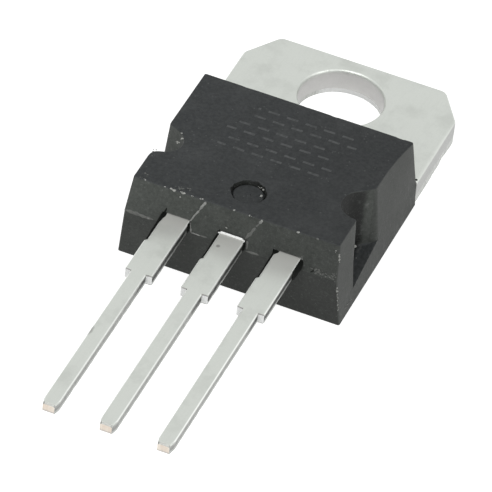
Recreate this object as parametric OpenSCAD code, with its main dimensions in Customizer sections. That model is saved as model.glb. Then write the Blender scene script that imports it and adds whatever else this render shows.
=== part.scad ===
// Three-lead voltage regulator in a flat power package.
// The origin is the centre of the mounting hole on the metal back face. +X runs across the width
// with the input lead at -X, +Y runs to the free end of the tab, and +Z out of the marked face.

/* [Mounting tab] */
// How far each side of the tab lies inside the side of the case
tab_inset = 0.06; // [0:0.01:0.1]
// Thickness of the tab and of the pad under the case
tab_t = 1.28; // [1.15:0.01:1.4]
// Diameter of the mounting hole
hole_d = 3.83; // [3.4:0.01:4.2]
// From the hole centre to the free end of the tab
hole_to_end = 2.73; // [2.5:0.01:3.4]
// From the hole centre to the back edge of the case
hole_to_case = 3.72; // [3.2:0.01:4.4]
// Cut at each free corner of the tab, across the width
corner_x = 1.1; // [0.8:0.05:1.6]
// Cut at each free corner of the tab, along the length
corner_y = 1.73; // [1.2:0.05:2.0]
// Rounding where the corner cuts meet the edges
corner_r = 0.4; // [0.1:0.05:0.6]

/* [Pad under the case] */
// Width of the pad, whose sides the case wraps
pad_w = 8.8; // [8.2:0.1:9.2]
// Length of the pad, from the back edge of the case
pad_l = 7.5; // [7.1:0.05:7.6]
// Height of the narrower foot that shows on the back
ledge_h = 0.45; // [0.3:0.05:0.7]
// How far the wide part of the pad reaches past the foot, to hold in the moulding
ledge_w = 0.3; // [0.15:0.05:0.5]
// Width of each locking groove across the pad
groove_w = 0.5; // [0.3:0.05:0.7]
// Depth of each locking groove
groove_t = 0.2; // [0.1:0.02:0.35]
// From the back edge of the case to the first locking groove
groove_at = 1.0; // [0.6:0.05:1.5]

/* [Case] */
// Height of the marked face above the metal back
case_h = 4.42; // [4.3:0.02:4.7]
// Width of the case at the back face
base_w = 10.26; // [10.0:0.02:10.6]
// Width of the case at the marked face
top_w = 9.44; // [9.2:0.02:9.8]
// Length of the case at the back face
base_l = 9.015; // [8.9:0.01:9.5]
// How far the back slope leans in, from the tab up to the marked face
back_lean = 1.26; // [0.8:0.02:1.5]
// How far the mould parting line stands out past the front edge of the base
nose = 0.385; // [0.2:0.01:0.6]
// How far the front face leans back above the parting line
front_lean = 0.32; // [0.1:0.01:0.6]
// Diameter of the round ejector mark
eject_d = 1.5; // [1.0:0.05:2.0]
// Depth of the ejector mark
eject_t = 0.18; // [0.08:0.02:0.3]
// From the front edge of the marked face to the centre of the ejector mark
eject_at = 1.38; // [1.2:0.02:1.8]

/* [Side pockets] */
// From the centre plane to the deepest point of a pocket
pocket_in = 3.7; // [3.6:0.02:4.1]
// Radius of the round inner end
pocket_r = 0.95; // [0.7:0.05:1.1]
// From the back edge of the case to the centre of the round end
pocket_at = 6.21; // [5.8:0.02:6.4]
// Height of the pocket floor above the metal back, at the centre of the round end
pocket_floor = 1.12; // [0.9:0.02:1.5]
// Angle at which the pocket floor falls towards the leads
pocket_fall = 10; // [0:1:15]
// Angle at which the back wall of a pocket flares out
pocket_flare = 40; // [20:1:50]
// Radius of the shoulder between the front wall and the flank
shoulder_r = 0.55; // [0.3:0.05:0.6]
// Least thickness of the moulding between a pocket and the pad
pocket_wall = 0.35; // [0.2:0.05:0.4]

/* [Leads] */
// Distance between neighbouring leads
lead_pitch = 2.54; // [2.4:0.02:2.7]
// Thickness of the lead strip
lead_t = 0.5; // [0.4:0.02:0.6]
// Height of the underside of the leads above the metal back
lead_z = 2.7; // [2.5:0.02:2.8]
// Width of a lead where it leaves the case, which is stepped in from the broad part on the -X side only
root_w = 1.15; // [0.9:0.01:1.2]
// Width of the broad part of a lead
wide_w = 1.25; // [1.2:0.01:1.6]
// Width of the slim part of a lead
slim_w = 0.7; // [0.6:0.01:0.88]
// Width of the end of a lead
tip_w = 0.53; // [0.4:0.01:0.6]
// From the parting line to the end of the root
root_l = 1.83; // [1.2:0.01:2.2]
// From the parting line to the shoulder of the broad part
wide_l = 3.93; // [3.4:0.01:4.4]
// From the parting line to the end of the lead
lead_l = 13.15; // [12.6:0.05:14.2]
// Length of the tapered end
tip_l = 0.4; // [0.2:0.05:0.8]
// Slant on the upper and lower edges of the end
tip_slant = 0.07; // [0.02:0.01:0.12]

/* [Lead slots in the case] */
// Gap beside a lead where it leaves the case
slot_gap = 0.12; // [0.06:0.01:0.2]
// Gap above a lead where it leaves the case
slot_top = 0.03; // [0.02:0.01:0.1]
// Depth of the gap behind the parting line
slot_l = 0.28; // [0.1:0.02:0.32]

/* [Inside the case] */
// Width of the bond post on each outer lead
post_w = 2.3; // [1.8:0.05:2.4]
// Length of a bond post
post_l = 1.3; // [1.0:0.05:1.5]
// Distance from the parting line to a bond post
post_at = 0.62; // [0.5:0.02:0.8]
// Inner radius of each bend in the centre lead
bend_r = 0.25; // [0.2:0.01:0.3]
// Steepness of the riser in the centre lead
bend_angle = 70; // [65:1:80]
// Straight run of the centre lead between the pad and its first bend
run_l = 0.15; // [0.1:0.01:0.2]
// Width of the chip
chip_w = 2.2; // [1.8:0.1:3.0]
// Length of the chip
chip_l = 2.0; // [1.6:0.1:2.4]
// Thickness of the chip
chip_t = 0.28; // [0.2:0.02:0.36]
// Distance from the back edge of the case to the centre of the chip
chip_at = 4.6; // [4.2:0.1:4.8]
// Thickness of the solder under the chip
solder_t = 0.05; // [0.03:0.01:0.1]
// How far the solder shows around the chip
solder_rim = 0.1; // [0.05:0.01:0.2]
// Diameter of the input and output wires
power_wire_d = 0.25; // [0.2:0.01:0.3]
// Diameter of the sense and ground wires
signal_wire_d = 0.15; // [0.1:0.01:0.2]
// Distance of each bond from the edge of the chip
bond_in = 0.35; // [0.3:0.01:0.45]

/* [Hidden] */
$fn = 96;
past = 1;
bend_steps = 8;
pad_overlap = 0.3;
tab_w = base_w - 2 * tab_inset;
case_y = -hole_to_case;
base_front_y = case_y - base_l;
parting_y = base_front_y - nose;
end_y = parting_y - lead_l;
top_front_y = parting_y + front_lean;
top_back_y = case_y - back_lean;
lead_top = lead_z + lead_t;
root_left = root_w - wide_w / 2;
pad_front_y = case_y - pad_l;
pocket_y = case_y - pocket_at;
pocket_x = pocket_in + pocket_r;
flank_x = (base_w / 2 + top_w / 2) / 2;
shoulder_x = flank_x - shoulder_r;
shoulder_y = pocket_y - sqrt(pow(pocket_r + shoulder_r, 2) - pow(pocket_x - shoulder_x, 2));
bend_rise = (lead_z - tab_t - 2 * bend_r + (2 * bend_r + lead_t) * cos(bend_angle)) / sin(bend_angle);
bend_reach = (2 * bend_r + lead_t) * sin(bend_angle) + bend_rise * cos(bend_angle);
riser_end_y = pad_front_y - run_l - bend_reach;
post_front_y = parting_y + post_at;
post_back_y = post_front_y + post_l;
post_mid_y = (post_front_y + post_back_y) / 2;
chip_y = case_y - chip_at;
chip_bottom = tab_t + solder_t;
chip_top = chip_bottom + chip_t;
chip_bond_x = chip_w / 2 - bond_in;
chip_bond_y = chip_y - chip_l / 2 + bond_in;
down_bond_y = (pad_front_y + chip_y - chip_l / 2) / 2;
tin = "#c8cbc6";
epoxy = "#3c3e40";

// A vector of length one along v
function unit(v) = v / norm(v);

// Half of the inner angle at corner i of a closed outline
function half_angle(outline, i) =
    let (n = len(outline), here = outline[i])
    acos(unit(outline[(i + n - 1) % n] - here) * unit(outline[(i + 1) % n] - here)) / 2;

// The two points at which the rounding of corner i meets the straight edges
function tangent_points(outline, i, radius) =
    let (n = len(outline), here = outline[i], back = radius / tan(half_angle(outline, i)))
    [
        here + unit(outline[(i + n - 1) % n] - here) * back,
        here + unit(outline[(i + 1) % n] - here) * back
    ];

// Centre of the rounding of corner i
function round_centre(outline, i, radius) =
    let (n = len(outline), here = outline[i])
    let (inward = unit(outline[(i + n - 1) % n] - here) + unit(outline[(i + 1) % n] - here))
    here + unit(inward) * radius / sin(half_angle(outline, i));

// A convex outline whose corners have the given radii, with 0 for a sharp corner
module rounded(outline, radii) {
    corners = [0 : len(outline) - 1];
    polygon([for (i = corners) each tangent_points(outline, i, radii[i])]);
    for (i = corners)
        if (radii[i] > 0)
            translate(round_centre(outline, i, radii[i])) circle(r = radii[i]);
}

// Repeats its children on both sides of the centre plane
module both_sides() {
    children();
    mirror([1, 0, 0]) children();
}

// Plan of the part of the tab that stands free of the case
module tab_plan() {
    side = tab_w / 2;
    outline = [
        [-side, case_y], [side, case_y], [side, hole_to_end - corner_y],
        [side - corner_x, hole_to_end], [corner_x - side, hole_to_end], [-side, hole_to_end - corner_y]
    ];
    rounded(outline, [0, 0, corner_r, corner_r, corner_r, corner_r]);
}

// Plan of the pad in the case, drawn in by inset, with room for the side pockets
module pad_plan(inset) {
    side = pad_w / 2 - inset;
    notch_x = pocket_in - pocket_wall - inset;
    notch_y = pocket_y + pocket_r + pocket_wall + inset;
    polygon([
        [-side, case_y], [side, case_y], [side, notch_y], [notch_x, notch_y], [notch_x, pad_front_y + inset],
        [-notch_x, pad_front_y + inset], [-notch_x, notch_y], [-side, notch_y]
    ]);
}

// A vee groove across the pad at y, which the moulding fills
module locking_groove(y) {
    translate([0, y, tab_t]) rotate([90, 0, 90])
        linear_extrude(tab_w, center = true)
            polygon([[-groove_w / 2, 0], [0, -groove_t], [groove_w / 2, 0], [0, groove_t]]);
}

// Plan of a lead from start_y, inside the case, to its tapered end
module lead_plan(start_y) {
    wide = wide_w / 2;
    slim = slim_w / 2;
    tip = tip_w / 2;
    root_y = parting_y - root_l;
    wide_y = parting_y - wide_l;
    polygon([
        [wide, start_y], [wide, wide_y], [slim, wide_y], [slim, end_y + tip_l], [tip, end_y],
        [-tip, end_y], [-slim, end_y + tip_l], [-slim, wide_y], [-wide, wide_y],
        [-wide, root_y], [-root_left, root_y], [-root_left, start_y]
    ]);
}

// Side view of the slanted edges at the end of a lead
function end_points() = [
    [end_y + tip_slant, lead_top], [end_y, lead_top - tip_slant], [end_y, lead_z + tip_slant],
    [end_y + tip_slant, lead_z]
];

// Side view of one side of a bend, with the angles measured from straight up towards +Y
function arc_points(centre, radius, start, end) = [
    for (i = [0 : bend_steps])
        let (angle = start + (end - start) * i / bend_steps)
        centre + radius * [sin(angle), cos(angle)]
];

// Side view of a straight lead
module straight_side(start_y) {
    polygon(concat([[start_y, lead_z], [start_y, lead_top]], end_points()));
}

// Side view of the centre lead, which starts inside the pad and is bent up to the plane of the leads
module bent_side() {
    start_y = pad_front_y + pad_overlap;
    lower = [pad_front_y - run_l, tab_t + bend_r];
    upper = [riser_end_y, lead_z - bend_r];
    polygon(concat(
        [[start_y, tab_t - lead_t], [start_y, tab_t]],
        arc_points(lower, bend_r, 180, 180 + bend_angle),
        arc_points(upper, bend_r + lead_t, bend_angle, 0),
        end_points(),
        arc_points(upper, bend_r, 0, bend_angle),
        arc_points(lower, bend_r + lead_t, 180 + bend_angle, 180)
    ));
}

// A lead on the centre plane, from its side view, which is the child and ends before start_y
module lead(start_y) {
    intersection() {
        linear_extrude(lead_top + past) lead_plan(start_y);
        rotate([90, 0, 90]) linear_extrude(2 * wide_w, center = true) children();
    }
}

// The tab, the pad and the centre lead, which are one stamping
module tab_and_ground_lead() {
    color(tin) {
        difference() {
            union() {
                linear_extrude(tab_t) tab_plan();
                linear_extrude(ledge_h) pad_plan(ledge_w);
                translate([0, 0, ledge_h]) linear_extrude(tab_t - ledge_h) pad_plan(0);
            }
            translate([0, 0, -past]) cylinder(d = hole_d, h = tab_t + 2 * past);
            locking_groove(case_y - groove_at);
            locking_groove(case_y - groove_at - 2 * groove_w);
        }
        lead(pad_front_y + past) bent_side();
    }
}

// A lead that isn't joined to the pad: its inner end is a broad post for the wires
module outer_lead() {
    color(tin) {
        lead(post_mid_y + past) straight_side(post_mid_y);
        translate([-post_w / 2, post_front_y, lead_z]) cube([post_w, post_l, lead_t]);
    }
}

module input_lead() {
    translate([-lead_pitch, 0, 0]) outer_lead();
}

module output_lead() {
    translate([lead_pitch, 0, 0]) outer_lead();
}

// The silicon chip on its solder
module regulator_chip() {
    color("#5f6570")
        translate([-chip_w / 2, chip_y - chip_l / 2, chip_bottom]) cube([chip_w, chip_l, chip_t]);
}

module die_solder() {
    color("#9a9da0")
        translate([-chip_w / 2 - solder_rim, chip_y - chip_l / 2 - solder_rim, tab_t])
            cube([chip_w + 2 * solder_rim, chip_l + 2 * solder_rim, solder_t]);
}

// Where a wire of diameter d is pressed flat onto the surface at point, with the wire leaving at yaw
module wire_foot(point, yaw, d) {
    foot_l = 1.8 * d;
    foot_w = 1.3 * d;
    foot_t = 0.6 * d;
    translate(point) rotate([0, 0, yaw])
        translate([-foot_l / 2, -foot_w / 2, 0]) cube([foot_l, foot_w, foot_t]);
}

// A bond wire of diameter d that bows up by rise between two points on the metal
module bond_wire(start, end, rise, d) {
    lift = [0, 0, d / 2];
    span = end - start;
    chord = norm(span);
    arc_r = (chord * chord / 4 + rise * rise) / (2 * rise);
    half = asin(chord / 2 / arc_r);
    yaw = atan2(span.y, span.x);
    color("#d8dadd") {
        wire_foot(start, yaw, d);
        wire_foot(end, yaw, d);
        translate(start + lift) rotate([0, 0, yaw]) rotate([90, 0, 0]) rotate([0, 0, asin(span.z / chord)])
            translate([chord / 2, rise - arc_r, 0]) rotate([0, 0, 90 - half])
                rotate_extrude(angle = 2 * half) translate([arc_r, 0]) circle(d = d);
    }
}

module input_wire() {
    bond_wire([-chip_bond_x, chip_bond_y, chip_top], [-lead_pitch, post_mid_y, lead_top], 0.8, power_wire_d);
}

module output_wire() {
    post_x = lead_pitch - post_w / 5;
    bond_wire([chip_bond_x, chip_bond_y, chip_top], [post_x, post_mid_y, lead_top], 0.8, power_wire_d);
}

module sense_wire() {
    post_x = lead_pitch + post_w / 4;
    bond_wire([chip_bond_x, chip_y + chip_l / 2 - bond_in, chip_top], [post_x, post_mid_y, lead_top], 0.7,
        signal_wire_d);
}

module ground_wire() {
    bond_wire([0, chip_bond_y, chip_top], [0, down_bond_y, tab_t], 0.45, signal_wire_d);
}

// The case before its pockets and marks are cut: the side view and the end view, crossed
module case_block() {
    intersection() {
        rotate([90, 0, 90]) linear_extrude(base_w + 2 * past, center = true)
            polygon([
                [case_y, 0], [case_y, tab_t], [top_back_y, case_h], [top_front_y, case_h],
                [parting_y, lead_z], [base_front_y, 0]
            ]);
        translate([0, case_y + past, 0]) rotate([90, 0, 0])
            linear_extrude(base_l + nose + 2 * past)
                polygon([[-base_w / 2, 0], [base_w / 2, 0], [top_w / 2, case_h], [-top_w / 2, case_h]]);
    }
}

// Plan of the pocket on the +X side: a round end that flares out at the back, and a rounded shoulder
// in front that carries the flank into the pocket
module pocket_plan() {
    leave = [-sin(pocket_flare), cos(pocket_flare)] * pocket_r + [pocket_x, pocket_y];
    outside_x = base_w / 2 + past;
    mouth_y = leave.y + (outside_x - leave.x) * tan(pocket_flare);
    difference() {
        union() {
            translate([pocket_x, pocket_y]) circle(r = pocket_r);
            polygon([
                leave, [outside_x, mouth_y], [outside_x, shoulder_y], [shoulder_x, shoulder_y],
                [pocket_x, pocket_y]
            ]);
        }
        translate([shoulder_x, shoulder_y]) circle(r = shoulder_r);
    }
}

// Side view of the room over a pocket's sloping floor, from side to side
module pocket_room() {
    fall = tan(pocket_fall);
    rotate([90, 0, 90]) linear_extrude(base_w + 4 * past, center = true)
        polygon([
            [case_y, pocket_floor + pocket_at * fall], [case_y, 2 * case_h], [parting_y, 2 * case_h],
            [parting_y, pocket_floor + (parting_y - pocket_y) * fall]
        ]);
}

// The gaps that the mould leaves beside and above a lead, at the parting line
module lead_slot() {
    translate([-root_left - slot_gap, parting_y - past, lead_z])
        cube([root_w + 2 * slot_gap, past + slot_l, lead_t + slot_top]);
}

// The moulded case, which fills all the space around the pieces inside it
module moulded_case() {
    color(epoxy)
        difference() {
            case_block();
            intersection() {
                both_sides() linear_extrude(2 * case_h) pocket_plan();
                pocket_room();
            }
            translate([0, top_front_y + eject_at, case_h - eject_t]) cylinder(d = eject_d, h = case_h);
            for (x = [-lead_pitch, 0, lead_pitch])
                translate([x, 0, 0]) lead_slot();
            tab_and_ground_lead();
            input_lead();
            output_lead();
            regulator_chip();
            die_solder();
            input_wire();
            output_wire();
            sense_wire();
            ground_wire();
        }
}

moulded_case();
tab_and_ground_lead();
input_lead();
output_lead();
regulator_chip();
die_solder();
input_wire();
output_wire();
sense_wire();
ground_wire();
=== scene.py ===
"""Looks of a three-lead voltage regulator: a moulded case on a tinned stamping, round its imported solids.

Lengths are in millimetres until a mesh is finished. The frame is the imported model's own: the origin is the
centre of the mounting hole on the metal back, +Y runs to the free end of the tab, and +Z out of the marked
face. A Ramp holds an input's low and high end and the results there.
"""

import logging
import math
from collections.abc import Callable, Iterable, Sequence
from dataclasses import astuple, dataclass
from enum import Enum, IntEnum
from random import Random

import bmesh
import bpy
from mathutils import Matrix, Vector, noise
from mathutils.geometry import delaunay_2d_cdt

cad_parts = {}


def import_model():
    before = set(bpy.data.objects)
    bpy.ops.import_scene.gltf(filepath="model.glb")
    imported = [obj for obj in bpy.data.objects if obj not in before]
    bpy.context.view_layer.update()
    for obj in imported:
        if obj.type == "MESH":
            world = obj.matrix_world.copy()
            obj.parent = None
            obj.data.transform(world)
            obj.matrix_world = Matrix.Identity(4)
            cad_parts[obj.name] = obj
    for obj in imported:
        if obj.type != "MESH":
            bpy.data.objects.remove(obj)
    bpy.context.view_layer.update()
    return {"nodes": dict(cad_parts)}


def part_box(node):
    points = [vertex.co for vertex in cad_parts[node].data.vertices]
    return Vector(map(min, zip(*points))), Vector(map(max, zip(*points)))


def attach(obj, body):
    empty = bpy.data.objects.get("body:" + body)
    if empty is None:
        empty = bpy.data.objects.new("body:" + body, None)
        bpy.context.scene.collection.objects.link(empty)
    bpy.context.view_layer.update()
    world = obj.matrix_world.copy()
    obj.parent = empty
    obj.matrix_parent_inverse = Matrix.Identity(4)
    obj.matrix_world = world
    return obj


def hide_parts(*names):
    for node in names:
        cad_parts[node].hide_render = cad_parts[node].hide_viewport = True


Finishes = Sequence[bpy.types.Material]

LOG = logging.getLogger("voltage_regulator")
MM = 0.001
BODY = "root"
LEADS_ABOVE = 2.0
NOISE_SEED = 5

Ring = list[Vector]
Colour = tuple[float, float, float]
Ramp = tuple[float, float, float, float]
Kinds = Sequence[int] | int


class Side(IntEnum):
    """The two sides of the centre plane."""

    LEFT = -1
    RIGHT = 1


class Metal(IntEnum):
    """How a face of the tinned metal came about, which is also its place in the list of finishes."""

    ROLLED = 0
    SHEARED = 1
    CUT_OFF = 2


class Axis(Enum):
    """The direction in which a surface was drawn, rolled or polished."""

    ALONG_LEADS = (6.0, 0.7, 6.0)
    THROUGH_STRIP = (5.0, 5.0, 0.8)


@dataclass(frozen=True)
class Extent:
    """The box of one CAD node, in millimetres."""

    low: Vector
    high: Vector

    @classmethod
    def of(cls, node: str) -> "Extent":
        """Read the box of a node from the frame.

        Args:
            node: Name of the CAD node.

        Returns:
            The node's box.
        """
        low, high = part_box(node)
        return cls(Vector(low) / MM, Vector(high) / MM)

    @property
    def middle(self) -> Vector:
        """Centre of the box."""
        return (self.low + self.high) / 2

    @property
    def size(self) -> Vector:
        """Lengths of the box along X, Y and Z."""
        return self.high - self.low


class Field:
    """A value that varies over a surface: an output socket that arithmetic works on."""

    def __init__(self, graph: "Graph", socket: bpy.types.NodeSocket) -> None:
        """Keep the socket and the graph that it belongs to."""
        self.graph = graph
        self.socket = socket

    def __add__(self, other: "Value") -> "Field":
        """The sum."""
        return self.graph.math("ADD", self, other)

    def __sub__(self, other: "Value") -> "Field":
        """The difference."""
        return self.graph.math("SUBTRACT", self, other)

    def __mul__(self, other: "Value") -> "Field":
        """The product."""
        return self.graph.math("MULTIPLY", self, other)

    def __truediv__(self, other: "Value") -> "Field":
        """The quotient."""
        return self.graph.math("DIVIDE", self, other)

    def __rtruediv__(self, other: float) -> "Field":
        """A number divided by the field."""
        return self.graph.math("DIVIDE", other, self)

    def __abs__(self) -> "Field":
        """The value without its sign."""
        return self.graph.math("ABSOLUTE", self)

    def __lt__(self, other: "Value") -> "Field":
        """1 where the field is below the other value, and 0 elsewhere."""
        return self.graph.math("LESS_THAN", self, other)

    def __gt__(self, other: "Value") -> "Field":
        """1 where the field is above the other value, and 0 elsewhere."""
        return self.graph.math("GREATER_THAN", self, other)

    def fit(self, low: float, high: float, to_low: "Value" = 0.0, to_high: "Value" = 1.0) -> "Field":
        """The field mapped smoothly from one range to another and held there.

        Args:
            low: Input that gives to_low.
            high: Input that gives to_high.
            to_low: Result at and below low.
            to_high: Result at and above high.

        Returns:
            The mapped field.
        """
        inputs = {"Value": self, "From Min": low, "From Max": high, "To Min": to_low, "To Max": to_high}
        return self.graph.field("ShaderNodeMapRange", inputs, interpolation_type="SMOOTHSTEP")

    def parts(self) -> tuple["Field", ...]:
        """The X, Y and Z of a vector."""
        split = self.graph.add("ShaderNodeSeparateXYZ", {0: self})
        return tuple(Field(self.graph, part) for part in split.outputs)


Value = Field | float
Tint = Field | Colour
Inputs = dict | None


class Graph:
    """Short calls that add nodes to a tree and join them."""

    def __init__(self, tree: bpy.types.NodeTree) -> None:
        """Keep the tree that the calls work on."""
        self.tree = tree

    def add(self, kind: str, inputs: Inputs = None, **settings: object) -> bpy.types.Node:
        """Add one node.

        Args:
            kind: Type name of the node.
            inputs: A value or a field for each input, by its name or number.
            **settings: Values for the node's own properties.

        Returns:
            The new node.
        """
        node = self.tree.nodes.new(kind)
        for name, value in settings.items():
            setattr(node, name, value)
        for key, value in (inputs or {}).items():
            if isinstance(value, Field):
                self.tree.links.new(value.socket, node.inputs[key])
            else:
                node.inputs[key].default_value = value
        return node

    def field(self, kind: str, inputs: Inputs = None, output: int | str = 0, **settings: object) -> Field:
        """Add one node, as add does, and return one of its outputs."""
        return Field(self, self.add(kind, inputs, **settings).outputs[output])

    def math(self, operation: str, *values: Value, clamp: bool = False) -> Field:
        """Result of one arithmetic operation."""
        return self.field("ShaderNodeMath", dict(enumerate(values)), operation=operation, use_clamp=clamp)

    def blend(self, factor: Value, first: Tint, second: Tint) -> Field:
        """The first colour where factor is 0 and the second where it is 1."""
        first, second = (tint if isinstance(tint, Field) else (*tint, 1.0) for tint in (first, second))
        return self.field("ShaderNodeMix", {0: factor, 6: first, 7: second}, output=2, data_type="RGBA")

    def layers(self, ground: Tint, *coats: tuple[Value, Tint]) -> Field:
        """A ground colour with coats laid over it in order.

        Args:
            ground: The colour underneath.
            *coats: The share and the colour of each coat.

        Returns:
            The colour on top.
        """
        for share, tint in coats:
            ground = self.blend(share, ground, tint)
        return ground

    def noise(self, place: Field, scale: Value, detail: float = 3.0, roughness: float = 0.55) -> Field:
        """Value of a cloudy noise from 0 to 1."""
        inputs = {"Vector": place, "Scale": scale, "Detail": detail, "Roughness": roughness}
        return self.field("ShaderNodeTexNoise", inputs)


class Effects:
    """Surface effects that more than one finish uses, each a node group that is made once."""

    def __init__(self) -> None:
        """Make every group."""
        self.grain = self._group("fine_grain", ("Place", "Size"), "Height", self._grain)
        self.patches = self._group("soft_patches", ("Place", "Size", "Cover"), "Mask", self._patches)
        self.specks = self._group("fine_specks", ("Place", "Spacing", "Share"), "Mask", self._specks)
        self.worn_edges = self._group("worn_edges", ("Place", "Width"), "Mask", self._worn_edges)

    @staticmethod
    def _group(
        name: str, inputs: Sequence[str], output: str, fill: Callable[..., Field]
    ) -> bpy.types.NodeTree:
        """Make one node group that gives a single value.

        Args:
            name: Name of the group.
            inputs: Names of the inputs: the place first, a vector, and then numbers.
            output: Name of the output.
            fill: Takes the graph and the inputs, and returns the output.

        Returns:
            The finished group.
        """
        tree = bpy.data.node_groups.new(name, "ShaderNodeTree")
        for label in inputs:
            kind = "NodeSocketVector" if label == inputs[0] else "NodeSocketFloat"
            tree.interface.new_socket(name=label, in_out="INPUT", socket_type=kind)
        tree.interface.new_socket(name=output, in_out="OUTPUT", socket_type="NodeSocketFloat")
        graph = Graph(tree)
        start = graph.add("NodeGroupInput").outputs
        result = fill(graph, *(Field(graph, start[label]) for label in inputs))
        graph.add("NodeGroupOutput", {output: result})
        return tree

    @staticmethod
    def _grain(graph: Graph, place: Field, size: Field) -> Field:
        """Fine bumps with coarser ones among them."""
        scale = 1.0 / size
        return graph.noise(place, scale * 0.3, 2.0) * 0.6 + graph.noise(place, scale, 4.0, 0.65)

    @staticmethod
    def _patches(graph: Graph, place: Field, size: Field, cover: Field) -> Field:
        """Soft clouds that cover a share of the surface."""
        level = graph.math("SUBTRACT", 0.72, cover * 0.4)
        over = graph.noise(place, 1.0 / size, 5.0, 0.6) - level
        return graph.math("MULTIPLY", over, 6.0, clamp=True)

    @staticmethod
    def _specks(graph: Graph, place: Field, spacing: Field, share: Field) -> Field:
        """Small round specks in a share of the cells of a scattered grid."""
        cells = graph.add("ShaderNodeTexVoronoi", {"Vector": place, "Scale": 1.0 / spacing}).outputs
        chosen = Field(graph, cells["Color"]).parts()[0] < share
        return Field(graph, cells["Distance"]).fit(0.12, 0.32, 1.0, 0.0) * chosen

    @staticmethod
    def _worn_edges(graph: Graph, place: Field, width: Field) -> Field:
        """Outer edges, broken up where the wear has missed them."""
        settings = {"samples": 8, "inside": True, "only_local": True}
        thin = graph.field("ShaderNodeAmbientOcclusion", {"Distance": width}, "AO", **settings)
        return thin.fit(0.5, 0.8, 1.0, 0.0) * graph.noise(place, 5.0, 4.0, 0.7).fit(0.42, 0.62)


class Surface:
    """The surface that a finish dresses: where it is, how it faces, and the shared effects laid on it."""

    def __init__(self, graph: Graph, effects: Effects) -> None:
        """Find the point in millimetres and the parts of the surface's normal."""
        self.graph = graph
        self.effects = effects
        spot = graph.field("ShaderNodeTexCoord", output="Object")
        self.place = graph.field("ShaderNodeVectorMath", {0: spot, "Scale": 1 / MM}, operation="SCALE")
        self.x, self.y, self.z = self.place.parts()
        self.aside, self.ahead, self.tilt = graph.field("ShaderNodeNewGeometry", output="Normal").parts()

    def _stretched(self, factors: Sequence[float]) -> Field:
        """The place multiplied by one factor for each axis, or as it is where no factors are given."""
        if not factors:
            return self.place
        return self.graph.field("ShaderNodeVectorMath", {0: self.place, 1: factors}, operation="MULTIPLY")

    def _lay(self, group: bpy.types.NodeTree, stretch: Sequence[float] = (), **values: float) -> Field:
        """One of the shared effects, with a number for each of its inputs."""
        inputs = {"Place": self._stretched(stretch), **values}
        return self.graph.field("ShaderNodeGroup", inputs, node_tree=group)

    def noise(
        self, scale: float, detail: float = 3.0, roughness: float = 0.55, stretch: Sequence[float] = ()
    ) -> Field:
        """Value of a cloudy noise from 0 to 1, which may be drawn out along an axis."""
        return self.graph.noise(self._stretched(stretch), scale, detail, roughness)

    def blotches(self, scale: float) -> Field:
        """A noise with ragged rims."""
        return self.noise(scale, 4.0, 0.7)

    def patches(self, size: float, cover: float, stretch: Sequence[float] = ()) -> Field:
        """Soft clouds that cover a share of the surface."""
        return self._lay(self.effects.patches, stretch, Size=size, Cover=cover)

    def grain(self, size: float) -> Field:
        """Height of a fine stipple."""
        return self._lay(self.effects.grain, Size=size)

    def specks(self, spacing: float, share: float) -> Field:
        """Small round specks."""
        return self._lay(self.effects.specks, Spacing=spacing, Share=share)

    def worn_edges(self, width: float) -> Field:
        """Outer edges, rubbed over a width in millimetres."""
        return self._lay(self.effects.worn_edges, Width=width * MM)

    def bump(self, height: Field, depth: float, strength: float = 1.0) -> Field:
        """A normal tilted by a height map whose full range is depth millimetres."""
        inputs = {"Height": height, "Distance": depth * MM, "Strength": strength}
        return self.graph.field("ShaderNodeBump", inputs)


@dataclass(frozen=True)
class Finish:
    """A surface finish: a name, and nodes that drive one Principled shader."""

    name: str

    def make(self, effects: Effects) -> bpy.types.Material:
        """Make the material.

        Args:
            effects: The shared surface effects.

        Returns:
            The finished material.
        """
        material = bpy.data.materials.new(self.name)
        material.use_nodes = True
        graph = Graph(material.node_tree)
        graph.tree.nodes.clear()
        shader = graph.field("ShaderNodeBsdfPrincipled", self.dress(Surface(graph, effects)))
        graph.add("ShaderNodeOutputMaterial", {"Surface": shader})
        return material

    def dress(self, surface: Surface) -> dict[str, Value]:
        """The shader's inputs on a surface, by their names."""
        raise NotImplementedError


@dataclass(frozen=True)
class EtchedRows:
    """Rows of short plain bars, burnt faintly into the marked face: Y, start and end of each row."""

    rows: tuple[tuple[float, float, float], ...] = (
        (-6.35, -1.75, 3.0), (-7.55, -2.5, 2.2), (-8.75, -2.45, 2.6)
    )
    face_z: float = 4.38
    half_gap: float = 0.27
    bar_pitch: float = 0.86
    bar_share: float = 0.6
    bar_half: float = 0.05
    bar_soft: float = 0.03
    burn: Ramp = (0.3, 0.6, 0.25, 1.0)

    def mask(self, surface: Surface) -> Field:
        """1 on the bars and 0 elsewhere, with gaps where the burn is faint."""
        bars = None
        for row_y, start, end in self.rows:
            for step in Side:
                line = self._line(surface, row_y + step * self.half_gap, (start, end), (1 + step) / 4)
                bars = surface.graph.math("MAXIMUM", bars, line) if bars else line
        return bars * surface.blotches(4.5).fit(*self.burn) * (surface.z > self.face_z)

    def _line(self, surface: Surface, line_y: float, span: tuple[float, float], shift: float) -> Field:
        """One line of bars.

        Args:
            surface: The marked face.
            line_y: Where the line lies.
            span: Start and end of the line.
            shift: How far the bars are moved along, as a share of their pitch.

        Returns:
            The mask of the line.
        """
        inside = abs(surface.x - sum(span) / 2) < (span[1] - span[0]) / 2
        near = abs(surface.y - line_y).fit(self.bar_half, self.bar_half + self.bar_soft, 1.0, 0.0)
        step = surface.graph.math("FRACT", surface.x / self.bar_pitch + (10 + shift))
        return inside * near * (step < self.bar_share)


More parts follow.
